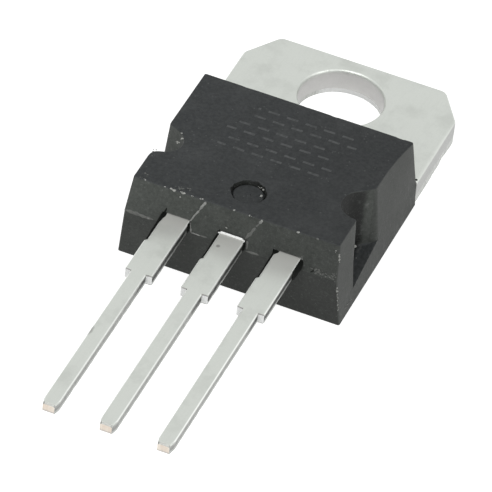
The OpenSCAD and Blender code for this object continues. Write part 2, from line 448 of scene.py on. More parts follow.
@dataclass(frozen=True)
class MouldedEpoxy(Finish):
    """Black moulding compound: finely stippled, dusty with pale filler, and rubbed lighter at its edges."""

    dark: Colour = (0.026, 0.029, 0.030)
    light: Colour = (0.059, 0.063, 0.064)
    # Lighter, warmer copies of the ground for the upright walls: painted light.
    lit_wall_dark: Colour = (0.037, 0.041, 0.037)
    lit_wall_pale: Colour = (0.068, 0.073, 0.067)
    filler: Colour = (0.125, 0.130, 0.125)
    worn: Colour = (0.20, 0.205, 0.20)
    burnt: Colour = (0.135, 0.14, 0.14)
    # Front and back walls: lighter to the left, and painted shade where they face down.
    left_to_right_tone: Ramp = (-5.0, 2.5, 1.40, 0.90)
    lower_wall_shade: Ramp = (-0.12, -0.04, 0.54, 1.0)
    top_shade: Ramp = (-4.5, 3.5, 1.03, 0.80)
    flank_shade: Ramp = (0.9, 0.97, 1.0, 0.80)
    flank_rub: Ramp = (1.0, 2.8, 0.22, 0.0)
    ledge_z: float = 3.6
    ledge_tone: float = 1.18
    grain_size: float = 0.045
    grain_depth: float = 0.006
    stipple: Ramp = (0.1, 0.9, 0.12, 0.35)
    gloss: Ramp = (0.5, 1.1, 0.50, 0.68)
    mark_y: float = -11.42
    mark_r: float = 0.86
    mark_floor_z: float = 3.9
    # Painted shade on the wall of the ejector's mark.
    mark_wall_shade: float = 0.30
    pocket_y: float = -9.9
    pocket_half: float = 2.2
    pocket_end_x: float = 3.6
    # Painted shade deep in the right pocket and painted light at its mouth.
    pocket_shade: Ramp = (4.31, 4.49, 0.20, 1.30)
    pocket_rub: Ramp = (0.50, 0.72, 0.0, 0.32)
    marks: EtchedRows = EtchedRows()

    def dress(self, surface: Surface) -> dict[str, Value]:
        """A mottled ground, painted lighter on the walls than on top, toned by place with painted shade,
        under stipple, filler, rubbed edges and the etched bars.
        """
        graph = surface.graph
        grain = surface.grain(self.grain_size)
        etched = self.marks.mask(surface)
        upright = graph.math("SUBTRACT", 1.0, abs(surface.tilt), clamp=True)
        shade = surface.blotches(6.5).fit(0.30, 0.70) * 0.6 + surface.patches(2.2, 0.55) * 0.4
        # Painted light: the walls take the lighter copies of the ground, the marked face on top the darker
        # ones.
        walls = graph.blend(shade, self.lit_wall_dark, self.lit_wall_pale)
        colour = graph.blend(upright.fit(0.4, 0.85), graph.blend(shade, self.dark, self.light), walls)
        toned = {0: colour, "Scale": self.tone(surface, upright)}
        colour = graph.layers(
            graph.field("ShaderNodeVectorMath", toned, operation="SCALE"),
            (grain.fit(0.78, 1.05) * upright.fit(*self.stipple), self.filler),
            (surface.patches(0.22, 0.22) * 0.16, self.filler),
            (self.rubbed(surface), self.worn),
            (surface.specks(0.16, 0.10) * 0.22, self.worn),
            (surface.worn_edges(0.09) * 0.42, self.worn),
            (etched * 0.55, self.burnt),
        )
        return {
            "Base Color": colour,
            "Roughness": grain.fit(*self.gloss),
            "Specular IOR Level": 0.22,
            "Normal": surface.bump(grain - etched * 0.5, self.grain_depth, 0.8),
        }

    def tone(self, surface: Surface, upright: Field) -> Field:
        """Factor on the ground: front and back walls lighter to the left, painted shade on the walls that
        face down, a shaded top and flanks, a pale ledge and painted shade in the hollows.
        """
        ends = abs(surface.ahead).fit(0.7, 0.9)
        # Lighter to the left, with painted shade on the downward-facing walls.
        wall_tone_and_shade = surface.x.fit(*self.left_to_right_tone) * surface.tilt.fit(*self.lower_wall_shade)
        flat = (surface.z < self.ledge_z).fit(0.0, 1.0, surface.x.fit(*self.top_shade), self.ledge_tone)
        flank = abs(surface.aside).fit(*self.flank_shade)
        walls = (wall_tone_and_shade - 1.0) * ends + 1.0
        return walls * upright.fit(0.1, 0.5, flat, flank) * self.hollow_shade(surface, upright)

    def hollow_shade(self, surface: Surface, upright: Field) -> Field:
        """Factor of painted shade on the wall of the ejector's mark, and of painted shade deep in the right
        pocket with painted light at its mouth, split by a ragged edge.
        """
        x, along = surface.x, surface.y - self.mark_y
        far = surface.graph.math("SQRT", x * x + along * along)
        # Painted shade: the ejector mark's wall and the depth of the right pocket.
        wall = (far < self.mark_r) * (surface.z > self.mark_floor_z) * upright.fit(0.2, 0.6)
        ragged = surface.blotches(2.2) * 0.30 + (x - 0.15)
        depth = self.in_pocket(surface, x, 4.68, 4.35).fit(0.0, 1.0, 1.0, ragged.fit(*self.pocket_shade))
        return depth * wall.fit(0.0, 1.0, 1.0, self.mark_wall_shade)

    def in_pocket(self, surface: Surface, reach: Field, mouth_x: float, top_z: float) -> Field:
        """1 on the walls of a side pocket and 0 elsewhere.

        Args:
            surface: The case.
            reach: Distance from the centre plane, with its sign for the right pocket alone.
            mouth_x: Reach of the mouth.
            top_z: Height below which the walls count.

        Returns:
            The mask.
        """
        deep = (reach < mouth_x) * (reach > self.pocket_end_x)
        return deep * (abs(surface.y - self.pocket_y) < self.pocket_half) * (surface.z < top_z)

    def rubbed(self, surface: Surface) -> Field:
        """Share of pale rubbing: clouds low on the flanks, and blotches on the walls of the side pockets."""
        reach = abs(surface.x)
        clouds = surface.patches(0.55, 0.45, (1.0, 1.6, 0.7)) * surface.z.fit(*self.flank_rub)
        blotches = surface.blotches(2.6).fit(*self.pocket_rub) * reach.fit(4.25, 4.45, 0.1, 1.0)
        sideways = abs(surface.aside).fit(0.9, 0.97)
        return clouds * sideways + self.in_pocket(surface, reach, 4.55, 4.3) * blotches


@dataclass(frozen=True)
class Smear:
    """A smear of grime on a lead: its middle, its half width and half length, and how dark it is."""

    middle: tuple[float, float]
    half: tuple[float, float]
    share: float

    def mask(self, surface: Surface) -> Field:
        """Share of grime, frayed at the smear's rim."""
        spots = (surface.x, surface.y)
        across, along = ((spot - middle) / half for spot, middle, half in zip(spots, self.middle, self.half))
        return (across * across + along * along + surface.noise(4.0)).fit(0.6, 1.5, self.share, 0.0)


@dataclass(frozen=True)
class TinPlate(Finish):
    """Matte tin over a rolled strip: an even pale grey with soft clouds, smudges and a duller root."""

    bright: Colour = (0.618, 0.642, 0.606)
    dull: Colour = (0.560, 0.582, 0.548)
    # Real stains, and the painted shade on upright faces.
    stain_and_side_shade: Colour = (0.42, 0.405, 0.405)
    root: Colour = (0.590, 0.580, 0.550)
    # Painted highlight for the rolled upper edges of the leads.
    edge_highlight: Colour = (0.84, 0.86, 0.83)
    cropped: Colour = (0.21, 0.21, 0.20)
    # Painted shade for the tab's flanks.
    tab_side: Colour = (0.385, 0.39, 0.38)
    grime: Colour = (0.20, 0.195, 0.185)
    smears: tuple[Smear, ...] = (
        Smear((-2.88, -21.35), (0.16, 0.42), 0.55),
        Smear((-0.24, -13.94), (0.10, 0.12), 0.70),
    )
    root_ends: tuple[float, float] = (-15.2, -13.0)
    under_case_y: float = -12.0
    tab_side_x: float = 4.7
    grain_size: float = 0.035
    gloss: Ramp = (0.5, 1.1, 0.42, 0.56)

    def dress(self, surface: Surface) -> dict[str, Value]:
        """Clouds, smudges and drawing lines, the duller root, painted highlights on the rolled edges,
        painted shade on upright faces, cropped tips and grime.
        """
        grain = surface.grain(self.grain_size)
        lines = surface.noise(1.6, stretch=Axis.ALONG_LEADS.value)
        on_lead = surface.z > LEADS_ABOVE
        near_case = surface.y.fit(*self.root_ends) * on_lead * (surface.y < self.under_case_y)
        near_case = near_case * surface.noise(1.7).fit(0.25, 0.65, 0.65, 1.0)
        rolled = surface.tilt.fit(0.25, 0.5) * surface.tilt.fit(0.88, 0.985, 1.0, 0.0)
        sideways = abs(surface.ahead).fit(0.06, 0.15, 1.0, 0.0)
        slant = surface.ahead.fit(-0.55, -0.25, 1.0, 0.0)
        upright = abs(surface.tilt).fit(0.0, 0.4, 1.0, 0.0)
        colour = surface.graph.layers(
            self.bright,
            (surface.patches(1.4, 0.55), self.dull),
            (lines.fit(0.45, 0.75) * 0.25, self.dull),
            (surface.patches(0.75, 0.10, (1.6, 0.55, 1.0)) * 0.35, self.stain_and_side_shade),
            (near_case * 0.7, self.root),
            # Painted highlight along the rolled upper edges of the leads.
            (rolled * sideways * on_lead, self.edge_highlight),
            (slant * on_lead * 0.85, self.cropped),
            # Painted shade: upright faces darker, and the tab's flanks darker still.
            (upright * 0.7, self.stain_and_side_shade),
            (upright * (abs(surface.x) > self.tab_side_x), self.tab_side),
            *((smear.mask(surface), self.grime) for smear in self.smears),
        )
        return {
            "Base Color": colour,
            "Metallic": near_case.fit(0.0, 0.8, 1.0, 0.2),
            "Roughness": grain.fit(*self.gloss),
            "Normal": surface.bump(lines * 1.2 + grain, 0.003, 0.7),
        }


@dataclass(frozen=True)
class ShearedMetal(Finish):
    """The side of a stamping: burnished where the punch went in, torn and grey below, with bright specks."""

    pale: Colour = (0.17, 0.172, 0.167)
    torn: Colour = (0.055, 0.057, 0.054)
    ragged: Colour = (0.50, 0.51, 0.49)
    # bright: the bright specks, and the painted highlight on faces turned to the front.
    bright: Colour = (0.93, 0.94, 0.93)
    tab_side: Colour = (0.47, 0.48, 0.46)
    clean: Colour = (0.40, 0.405, 0.39)
    clean_ends: tuple[float, float] = (-18.8, -17.2)
    front_highlight_tilt: tuple[float, float] = (-0.85, -0.55)
    torn_band: Ramp = (3.00, 3.06, 1.0, 0.0)
    ragged_band: Ramp = (2.84, 2.88, 1.0, 0.0)
    gloss: Ramp = (0.3, 0.7, 0.42, 0.62)

    def dress(self, surface: Surface) -> dict[str, Value]:
        """Upright drag lines, a torn band, a ragged foot and bright specks, cleaner towards the tips, with a
        painted highlight on faces turned to the front.
        """
        graph = surface.graph
        drag = surface.noise(2.4, 4.0, 0.65, Axis.THROUGH_STRIP.value)
        dirty = surface.y.fit(*self.clean_ends)
        frayed = surface.blotches(3.0) * 0.18 + (surface.z - 0.09)
        on_lead = surface.z > LEADS_ABOVE
        lead = graph.layers(
            self.pale,
            (drag.fit(0.35, 0.7, 0.0, 0.7), self.torn),
            (surface.patches(0.28, 0.45) * 0.4, self.torn),
            (dirty.fit(0.0, 1.0, 0.85, 0.0), self.clean),
        )
        colour = graph.layers(
            graph.blend(drag.fit(0.45, 0.8, 0.0, 0.5), self.tab_side, self.pale),
            (on_lead, lead),
            (on_lead * frayed.fit(*self.torn_band) * dirty.fit(0.0, 1.0, 0.25, 0.8), self.torn),
            (on_lead * frayed.fit(*self.ragged_band) * 0.75, self.ragged),
            (surface.specks(0.14, 0.12) * 0.5, self.bright),
            # Painted highlight on faces turned to the front, such as the leads' shoulders.
            (surface.ahead.fit(*self.front_highlight_tilt, 1.0, 0.0), self.bright),
        )
        return {
            "Base Color": colour,
            "Metallic": surface.ahead.fit(*self.front_highlight_tilt),
            "Roughness": drag.fit(*self.gloss),
            "Normal": surface.bump(drag * 2.0 + surface.grain(0.05), 0.012, 0.8),
        }


@dataclass(frozen=True)
class CutEnd(Finish):
    """The end of a lead, cut after plating: bare copper above, and a grey torn edge below."""

    copper: Colour = (0.66, 0.58, 0.50)
    cream: Colour = (0.74, 0.69, 0.62)
    grey: Colour = (0.46, 0.44, 0.42)
    torn_band: Ramp = (2.86, 2.98, 1.0, 0.0)
    gloss: Ramp = (0.3, 0.7, 0.35, 0.6)

    def dress(self, surface: Surface) -> dict[str, Value]:
        """Smeared copper and the torn lower half."""
        smear = surface.noise(1.5, 4.0, 0.6, Axis.THROUGH_STRIP.value)
        colour = surface.graph.layers(
            self.copper,
            (smear.fit(0.4, 0.65), self.cream),
            ((smear * 0.16 + surface.z).fit(*self.torn_band) * 0.85, self.grey),
        )
        return {
            "Base Color": colour,
            "Metallic": 0.85,
            "Roughness": smear.fit(*self.gloss),
            "Normal": surface.bump(smear, 0.01, 0.8),
        }


@dataclass(frozen=True)
class BrokenEpoxy(Finish):
    """Fresh breaks and thin flash of the moulding compound, pale with crushed filler."""

    grey: Colour
    pale: Colour
    gloss: Ramp = (0.5, 1.1, 0.7, 0.9)

    def dress(self, surface: Surface) -> dict[str, Value]:
        """Coarse grains from grey to pale."""
        grain = surface.grain(0.04)
        colour = surface.graph.layers(
            self.grey, (grain.fit(0.65, 1.0), self.pale), (surface.patches(0.3, 0.5) * 0.4, self.grey)
        )
        return {
            "Base Color": colour,
            "Roughness": grain.fit(*self.gloss),
            "Normal": surface.bump(grain, 0.015),
        }


@dataclass(frozen=True)
class BlackSkinAndShade(Finish):
    """Thin skins of resin without filler in the gaps beside the leads, painted nearly black with the shade
    there.
    """

    # Near black: painted shade of the gaps, over real flash.
    deep: Colour = (0.006, 0.007, 0.006)
    dusty: Colour = (0.020, 0.022, 0.019)
    gloss: Ramp = (0.5, 1.1, 0.6, 0.8)

    def dress(self, surface: Surface) -> dict[str, Value]:
        """A little dust on a dark skin."""
        grain = surface.grain(0.05)
        return {
            "Base Color": surface.graph.blend(surface.patches(0.12, 0.35) * 0.7, self.deep, self.dusty),
            "Roughness": grain.fit(*self.gloss),
            "Specular IOR Level": 0.1,
            "Normal": surface.bump(grain, 0.006),
        }


@dataclass(frozen=True)
class PolishedSilicon(Finish):
    """The face of the chip: blue-grey silicon under a fine grid of metal tracks."""

    silicon: Colour = (0.10, 0.11, 0.15)
    film_tint: Colour = (0.12, 0.17, 0.16)
    tracks: Colour = (0.42, 0.43, 0.45)
    gloss: Ramp = (0.3, 0.7, 0.12, 0.22)

    def dress(self, surface: Surface) -> dict[str, Value]:
        """Blocks of tracks and a thin colour play."""
        grid = {"Vector": surface.place, "Scale": 3.2, "Mortar Size": 0.035}
        blocks = surface.graph.field("ShaderNodeTexBrick", grid, output="Fac")
        film = surface.noise(1.4)
        return {
            "Base Color": surface.graph.layers(
                self.silicon, (film * 0.3, self.film_tint), (blocks * 0.8, self.tracks)
            ),
            "Roughness": film.fit(*self.gloss),
            "Normal": surface.bump(blocks, 0.002),
        }


@dataclass(frozen=True)
class DullSolder(Finish):
    """The solder under the chip: dull, with the crystals it froze in."""

    pale: Colour = (0.40, 0.41, 0.42)
    dark: Colour = (0.24, 0.25, 0.26)

    def dress(self, surface: Surface) -> dict[str, Value]:
        """Frozen crystals."""
        cells = {"Vector": surface.place, "Scale": 9.0}
        shade = surface.graph.field("ShaderNodeTexVoronoi", cells, output="Color").parts()[0]
        return {
            "Base Color": surface.graph.blend(shade, self.pale, self.dark),
            "Metallic": 1.0,
            "Roughness": shade.fit(0.0, 1.0, 0.35, 0.55),
            "Normal": surface.bump(surface.grain(0.03), 0.004),
        }


@dataclass(frozen=True)
class DrawnAluminium(Finish):
    """The bond wires: bright drawn aluminium with fine die lines."""

    pale: Colour = (0.78, 0.79, 0.80)
    dark: Colour = (0.60, 0.61, 0.63)
    gloss: Ramp = (0.3, 0.7, 0.22, 0.34)

    def dress(self, surface: Surface) -> dict[str, Value]:
        """Die lines."""
        lines = surface.noise(6.0, stretch=Axis.ALONG_LEADS.value)
        return {
            "Base Color": surface.graph.blend(lines.fit(0.4, 0.7), self.pale, self.dark),
            "Metallic": 1.0,
            "Roughness": lines.fit(*self.gloss),
            "Normal": surface.bump(surface.grain(0.02), 0.002),
        }


@dataclass(frozen=True)
class PaperFloor(Finish):
    """The pale floor: matt paper that keeps the shadow, lifted towards white where seen or mirrored."""

    paper: Colour = (0.62, 0.62, 0.62)
    fibre: Colour = (0.6324, 0.6324, 0.6324)
    lift: Colour = (0.78, 0.78, 0.78)
    black: Colour = (0.0, 0.0, 0.0)

    def dress(self, surface: Surface) -> dict[str, Value]:
        """Faint paper fibre, and the lift for seen and mirrored rays."""
        graph = surface.graph
        return {
            "Base Color": graph.blend(surface.grain(0.6).fit(0.5, 1.1), self.paper, self.fibre),
            "Roughness": 1.0,
            "Specular IOR Level": 0.0,
            "Emission Color": graph.blend(seen_or_mirrored(graph), self.black, self.lift),
            "Emission Strength": 1.0,
        }


def seen_or_mirrored(graph: Graph) -> Field:
    """1 for rays from the camera, a reflection or clear glass, and 0 for light that falls on a surface."""
    rays = graph.add("ShaderNodeLightPath").outputs
    kinds = ("Is Camera Ray", "Is Glossy Ray", "Is Transmission Ray")
    seen, mirrored, through = (Field(graph, rays[kind]) for kind in kinds)
    return graph.math("MAXIMUM", graph.math("MAXIMUM", seen, mirrored), through)


def within(spot: Vector, outline: Sequence[Vector]) -> bool:
    """Whether a point of the plan lies inside a closed outline."""
    inside = False
    for before, after in zip([outline[-1], *outline], outline):
        if (before.y > spot.y) != (after.y > spot.y):
            crossing = before.x + (after.x - before.x) * (spot.y - before.y) / (after.y - before.y)
            inside ^= spot.x < crossing
    return inside


class Shell:
    """A closed mesh under construction, in millimetres."""

    def __init__(self) -> None:
        """Start with an empty mesh."""
        self.mesh = bmesh.new()

    def ring(self, points: Iterable[Vector]) -> list[bmesh.types.BMVert]:
        """Add the vertices of one ring."""
        return [self.mesh.verts.new(point) for point in points]

    def skin(self, first: Sequence, second: Sequence, kinds: Kinds = 0) -> None:
        """Join two rings of equal count with a band of faces.

        Args:
            first: Vertices of one ring.
            second: Vertices of the other ring.
            kinds: Material index for the whole band, or one for each face.
        """
        count = len(first)
        for here in range(count):
            after = (here + 1) % count
            face = self.mesh.faces.new((first[here], first[after], second[after], second[here]))
            face.material_index = kinds if isinstance(kinds, int) else kinds[here]

    def cap(self, ring: Sequence, kind: int = 0) -> None:
        """Close a flat end with one face."""
        self.mesh.faces.new(ring).material_index = kind

    def plate(self, outer: Sequence, hole: Sequence, kind: int = 0) -> None:
        """Close a level region between an outline and a hole in it.

        Args:
            outer: Vertices of the outline.
            hole: Vertices of the hole's rim.
            kind: Material index of the region.
        """
        rings = (list(outer), list(hole))
        verts = [vert for ring in rings for vert in ring]
        spots = [vert.co.xy for vert in verts]
        shift = len(outer)
        edges = [(i - 1 if i else shift - 1, i) for i in range(shift)]
        edges += [(shift + (i - 1 if i else len(hole) - 1), shift + i) for i in range(len(hole))]
        made = delaunay_2d_cdt(spots, edges, [], 0, 1e-7, True)
        for corners in made[2]:
            middle = sum((made[0][i] for i in corners), Vector((0, 0))) / len(corners)
            if within(middle, spots[:shift]) and not within(middle, spots[shift:]):
                self.mesh.faces.new([verts[made[3][i][0]] for i in corners]).material_index = kind

    def tube(self, rings: Sequence[Ring], kinds: Kinds = 0, ends: tuple[int, int] = (0, 0)) -> None:
        """Add a closed solid through rings of equal count.

        Args:
            rings: Points of each ring, from one end to the other.
            kinds: Material index for the sides, or one for each face round a ring.
            ends: Material index of the first and of the last end.
        """
        loops = [self.ring(points) for points in rings]
        for first, second in zip(loops, loops[1:]):
            self.skin(first, second, kinds)
        self.cap(loops[0], ends[0])
        self.cap(loops[-1], ends[1])

    def fleck(self, centre: Vector, size: Vector, rng: Random) -> None:
        """Add one small broken lump.

        Args:
            centre: Where the lump sits.
            size: Its three half-lengths.
            rng: Source of its shape.
        """
        made = bmesh.ops.create_icosphere(self.mesh, subdivisions=2, radius=1.0)["verts"]
        turn = Matrix.Rotation(rng.uniform(0, math.tau), 3, "Z")
        turn = turn @ Matrix.Rotation(rng.uniform(0, 0.5), 3, "X")
        seed = Vector((rng.random(), rng.random(), rng.random())) * 50
        for vert in made:
            swell = 1 + 0.55 * noise.noise(vert.co * 1.7 + seed)
            vert.co = centre + Vector(a * b for a, b in zip(turn @ (vert.co * swell), size))

    def build(self, name: str) -> bpy.types.Object:
        """Clean the mesh and put it in the scene, still in millimetres.

        Args:
            name: Name of the object.

        Returns:
            The new object.
        """
        bmesh.ops.remove_doubles(self.mesh, verts=self.mesh.verts, dist=2e-4)
        bmesh.ops.dissolve_degenerate(self.mesh, edges=self.mesh.edges, dist=1e-5)
        bmesh.ops.recalc_face_normals(self.mesh, faces=self.mesh.faces)
        data = bpy.data.meshes.new(name)
        self.mesh.to_mesh(data)
        self.mesh.free()
        for _ in Metal:
            data.materials.append(None)
        piece = bpy.data.objects.new(name, data)
        bpy.context.scene.collection.objects.link(piece)
        return piece


class Joining(Enum):
    """How one solid is combined with others."""

    CUT = "DIFFERENCE"
    FUSE = "UNION"


def combine(piece: bpy.types.Object, how: Joining, others: Sequence[bpy.types.Object]) -> None:
    """Cut other solids out of a piece or fuse them to it, and delete them.

    Args:
        piece: The object that changes.
        how: Whether to cut or to fuse.
        others: Closed solids in the same unit.
    """
    for other in others:
        step = piece.modifiers.new(other.name, "BOOLEAN")
        step.operation = how.value
        step.solver = "EXACT"
        step.object = other
    done = piece.evaluated_get(bpy.context.evaluated_depsgraph_get())
    before = piece.data
    result = bpy.data.meshes.new_from_object(done)
    piece.modifiers.clear()
    piece.data = result
    result.name = piece.name
    bpy.data.meshes.remove(before)
    for other in others:
        bpy.data.objects.remove(other)


def solid_of(node: bpy.types.Object) -> bpy.types.Object:
    """A copy of a CAD node's solid in millimetres, to cut with."""
    data = node.data.copy()
    if "custom_normal" in data.attributes:
        data.attributes.remove(data.attributes["custom_normal"])
    data.transform(Matrix.Scale(1 / MM, 4))
    copy = bpy.data.objects.new(node.name + "_tool", data)
    bpy.context.scene.collection.objects.link(copy)
    return copy


def complete(piece: bpy.types.Object, finishes: Finishes, crease: float = 32.0) -> None:
    """Bring a piece to metres, shade it, and hang it on the part.

    Args:
        piece: The object in millimetres.
        finishes: Materials in the order of the mesh's indices.
        crease: Angle in degrees above which an edge stays sharp.
    """
    data = piece.data
    data.transform(Matrix.Scale(MM, 4))
    for index, finish in enumerate(finishes):
        data.materials[index] = finish
    while len(data.materials) > len(finishes):
        data.materials.pop()
    data.shade_smooth()
    data.set_sharp_from_angle(angle=math.radians(crease))
    weighted = piece.modifiers.new("even_shading", "WEIGHTED_NORMAL")
    weighted.keep_sharp = True
    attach(piece, BODY)
    LOG.info("%s: %d faces", piece.name, len(data.polygons))


def fillet(before: Vector, corner: Vector, after: Vector, radius: float, steps: int) -> Ring:
    """Points of an arc that rounds a corner of a flat outline.

    Args:
        before: The corner before.
        corner: The corner to round.
        after: The corner after.
        radius: Radius of the arc.
        steps: Number of chords in the arc.

    Returns:
        The points, from the edge before to the edge after.
    """
    back = (before - corner).normalized()
    ahead = (after - corner).normalized()
    half = back.angle(ahead) / 2
    reach = radius / math.tan(half)
    centre = corner + (back + ahead).normalized() * radius / math.sin(half)
    start = corner + back * reach - centre
    end = corner + ahead * reach - centre
    return [centre + start.slerp(end, step / steps) * radius for step in range(steps + 1)]


def rounded_outline(corners: Ring, radii: Sequence[float], steps: Sequence[int], arc_steps: int = 6) -> Ring:
    """A closed flat outline with rounded corners and a fixed count of points on each edge.

    Args:
        corners: The sharp corners in order.
        radii: Radius at each corner.
        steps: Number of pieces that the edge after each corner is split into.
        arc_steps: Number of chords in each rounding.

    Returns:
        The points of the outline.
    """
    count = len(corners)
    after = [*corners[1:], corners[0]]
    arcs = [fillet(corners[i - 1], corners[i], after[i], radii[i], arc_steps) for i in range(count)]
    points = []
    for index, arc in enumerate(arcs):
        points.extend(arc)
        start, end = arc[-1], arcs[(index + 1) % count][0]
        points.extend(start.lerp(end, step / steps[index]) for step in range(1, steps[index]))
    return points


def drawn_in(ring: Ring, insets: Sequence[float]) -> Ring:
    """A clockwise ring with each point moved inward in plan by its own distance."""
    moved = []
    for index, point in enumerate(ring):
        along = ring[(index + 1) % len(ring)] - ring[index - 1]
        inward = Vector((along.y, -along.x, 0)).normalized()
        moved.append(point + inward * insets[index])
    return moved


def wobble(point: Vector, pitch: float, amount: float) -> Vector:
    """A smooth random shift of a point, where pitch is the distance over which it changes."""
    return noise.noise_vector(point / pitch) * amount


def heading(angle: float) -> Vector:
    """The level direction at an angle from +X, in radians."""
    return Vector((math.cos(angle), math.sin(angle), 0))


def circle(centre: Vector, radius: float, count: int) -> Ring:
    """Points of a level circle, clockwise seen from above."""
    return [centre + heading(-math.tau * step / count) * radius for step in range(count)]


def quarter(steps: int) -> list[float]:
    """Angles in radians from 0 to 90 degrees in equal steps."""
    return [math.radians(90 / steps * step) for step in range(steps + 1)]


FLARE_STEPS, INNER_STEPS, SHOULDER_STEPS = 14, 40, 20


class Stretch(Enum):
    """The stretches of the case's outline on one side, from back to front, and their counts of points."""

    BACK = ("back", 48)
    BACK_CORNER = ("back corner", 8)
    BEHIND_POCKET = ("behind the pocket", 26)
    POCKET = ("pocket", FLARE_STEPS + INNER_STEPS + SHOULDER_STEPS)
    BEFORE_POCKET = ("before the pocket", 12)
    FRONT_CORNER = ("front corner", 8)
    FRONT = ("front", 60)

    @property
    def count(self) -> int:
        """Number of points on the stretch."""
        return self.value[1]


@dataclass(frozen=True)
class Station:
    """One point of the case's outline: its side, its stretch, and how far along that it lies."""

    side: Side
    stretch: Stretch
    share: float


@dataclass(frozen=True)
class Pocket:
    """Plan of a side pocket: a flared mouth at the back, a round inner end, and a shoulder at the front."""

    middle_y: float
    flare: float = 40.0
    shoulder_x: float = 4.375
    shoulder_r: float = 0.55
    blend: float = 0.15
    deep: float = 3.7
    r: float = 0.95

    @property
    def shoulder_y(self) -> float:
        """Where the middle of the shoulder's rounding lies."""
        both, across = self.r + self.shoulder_r, self.deep + self.r - self.shoulder_x
        return self.middle_y - math.sqrt(both**2 - across**2)

    def curve(self, outside: float) -> Ring:
        """Points from the mouth, round the inner end, to the front shoulder.

        Args:
            outside: Where the mouth is cut off, past the flank.

        Returns:
            The points, as on the +X side.
        """
        centre = Vector((self.deep + self.r, self.middle_y, 0))
        flare = math.radians(self.flare)
        leave = centre + Vector((-math.sin(flare), math.cos(flare), 0)) * self.r
        mouth = Vector((outside, leave.y + (outside - leave.x) * math.tan(flare), 0))
        shoulder = Vector((self.shoulder_x, self.shoulder_y, 0))
        turn = (shoulder - centre).normalized()
        points = [mouth.lerp(leave, step / FLARE_STEPS) for step in range(FLARE_STEPS)]
        start, end = math.pi / 2 + flare, math.tau + math.atan2(turn.y, turn.x)
        for step in range(INNER_STEPS):
            points.append(centre + heading(start + (end - start) * step / INNER_STEPS) * self.r)
        start = end - math.pi
        for step in range(SHOULDER_STEPS):
            points.append(shoulder + heading(start * (1 - step / SHOULDER_STEPS)) * self.shoulder_r)
        return points


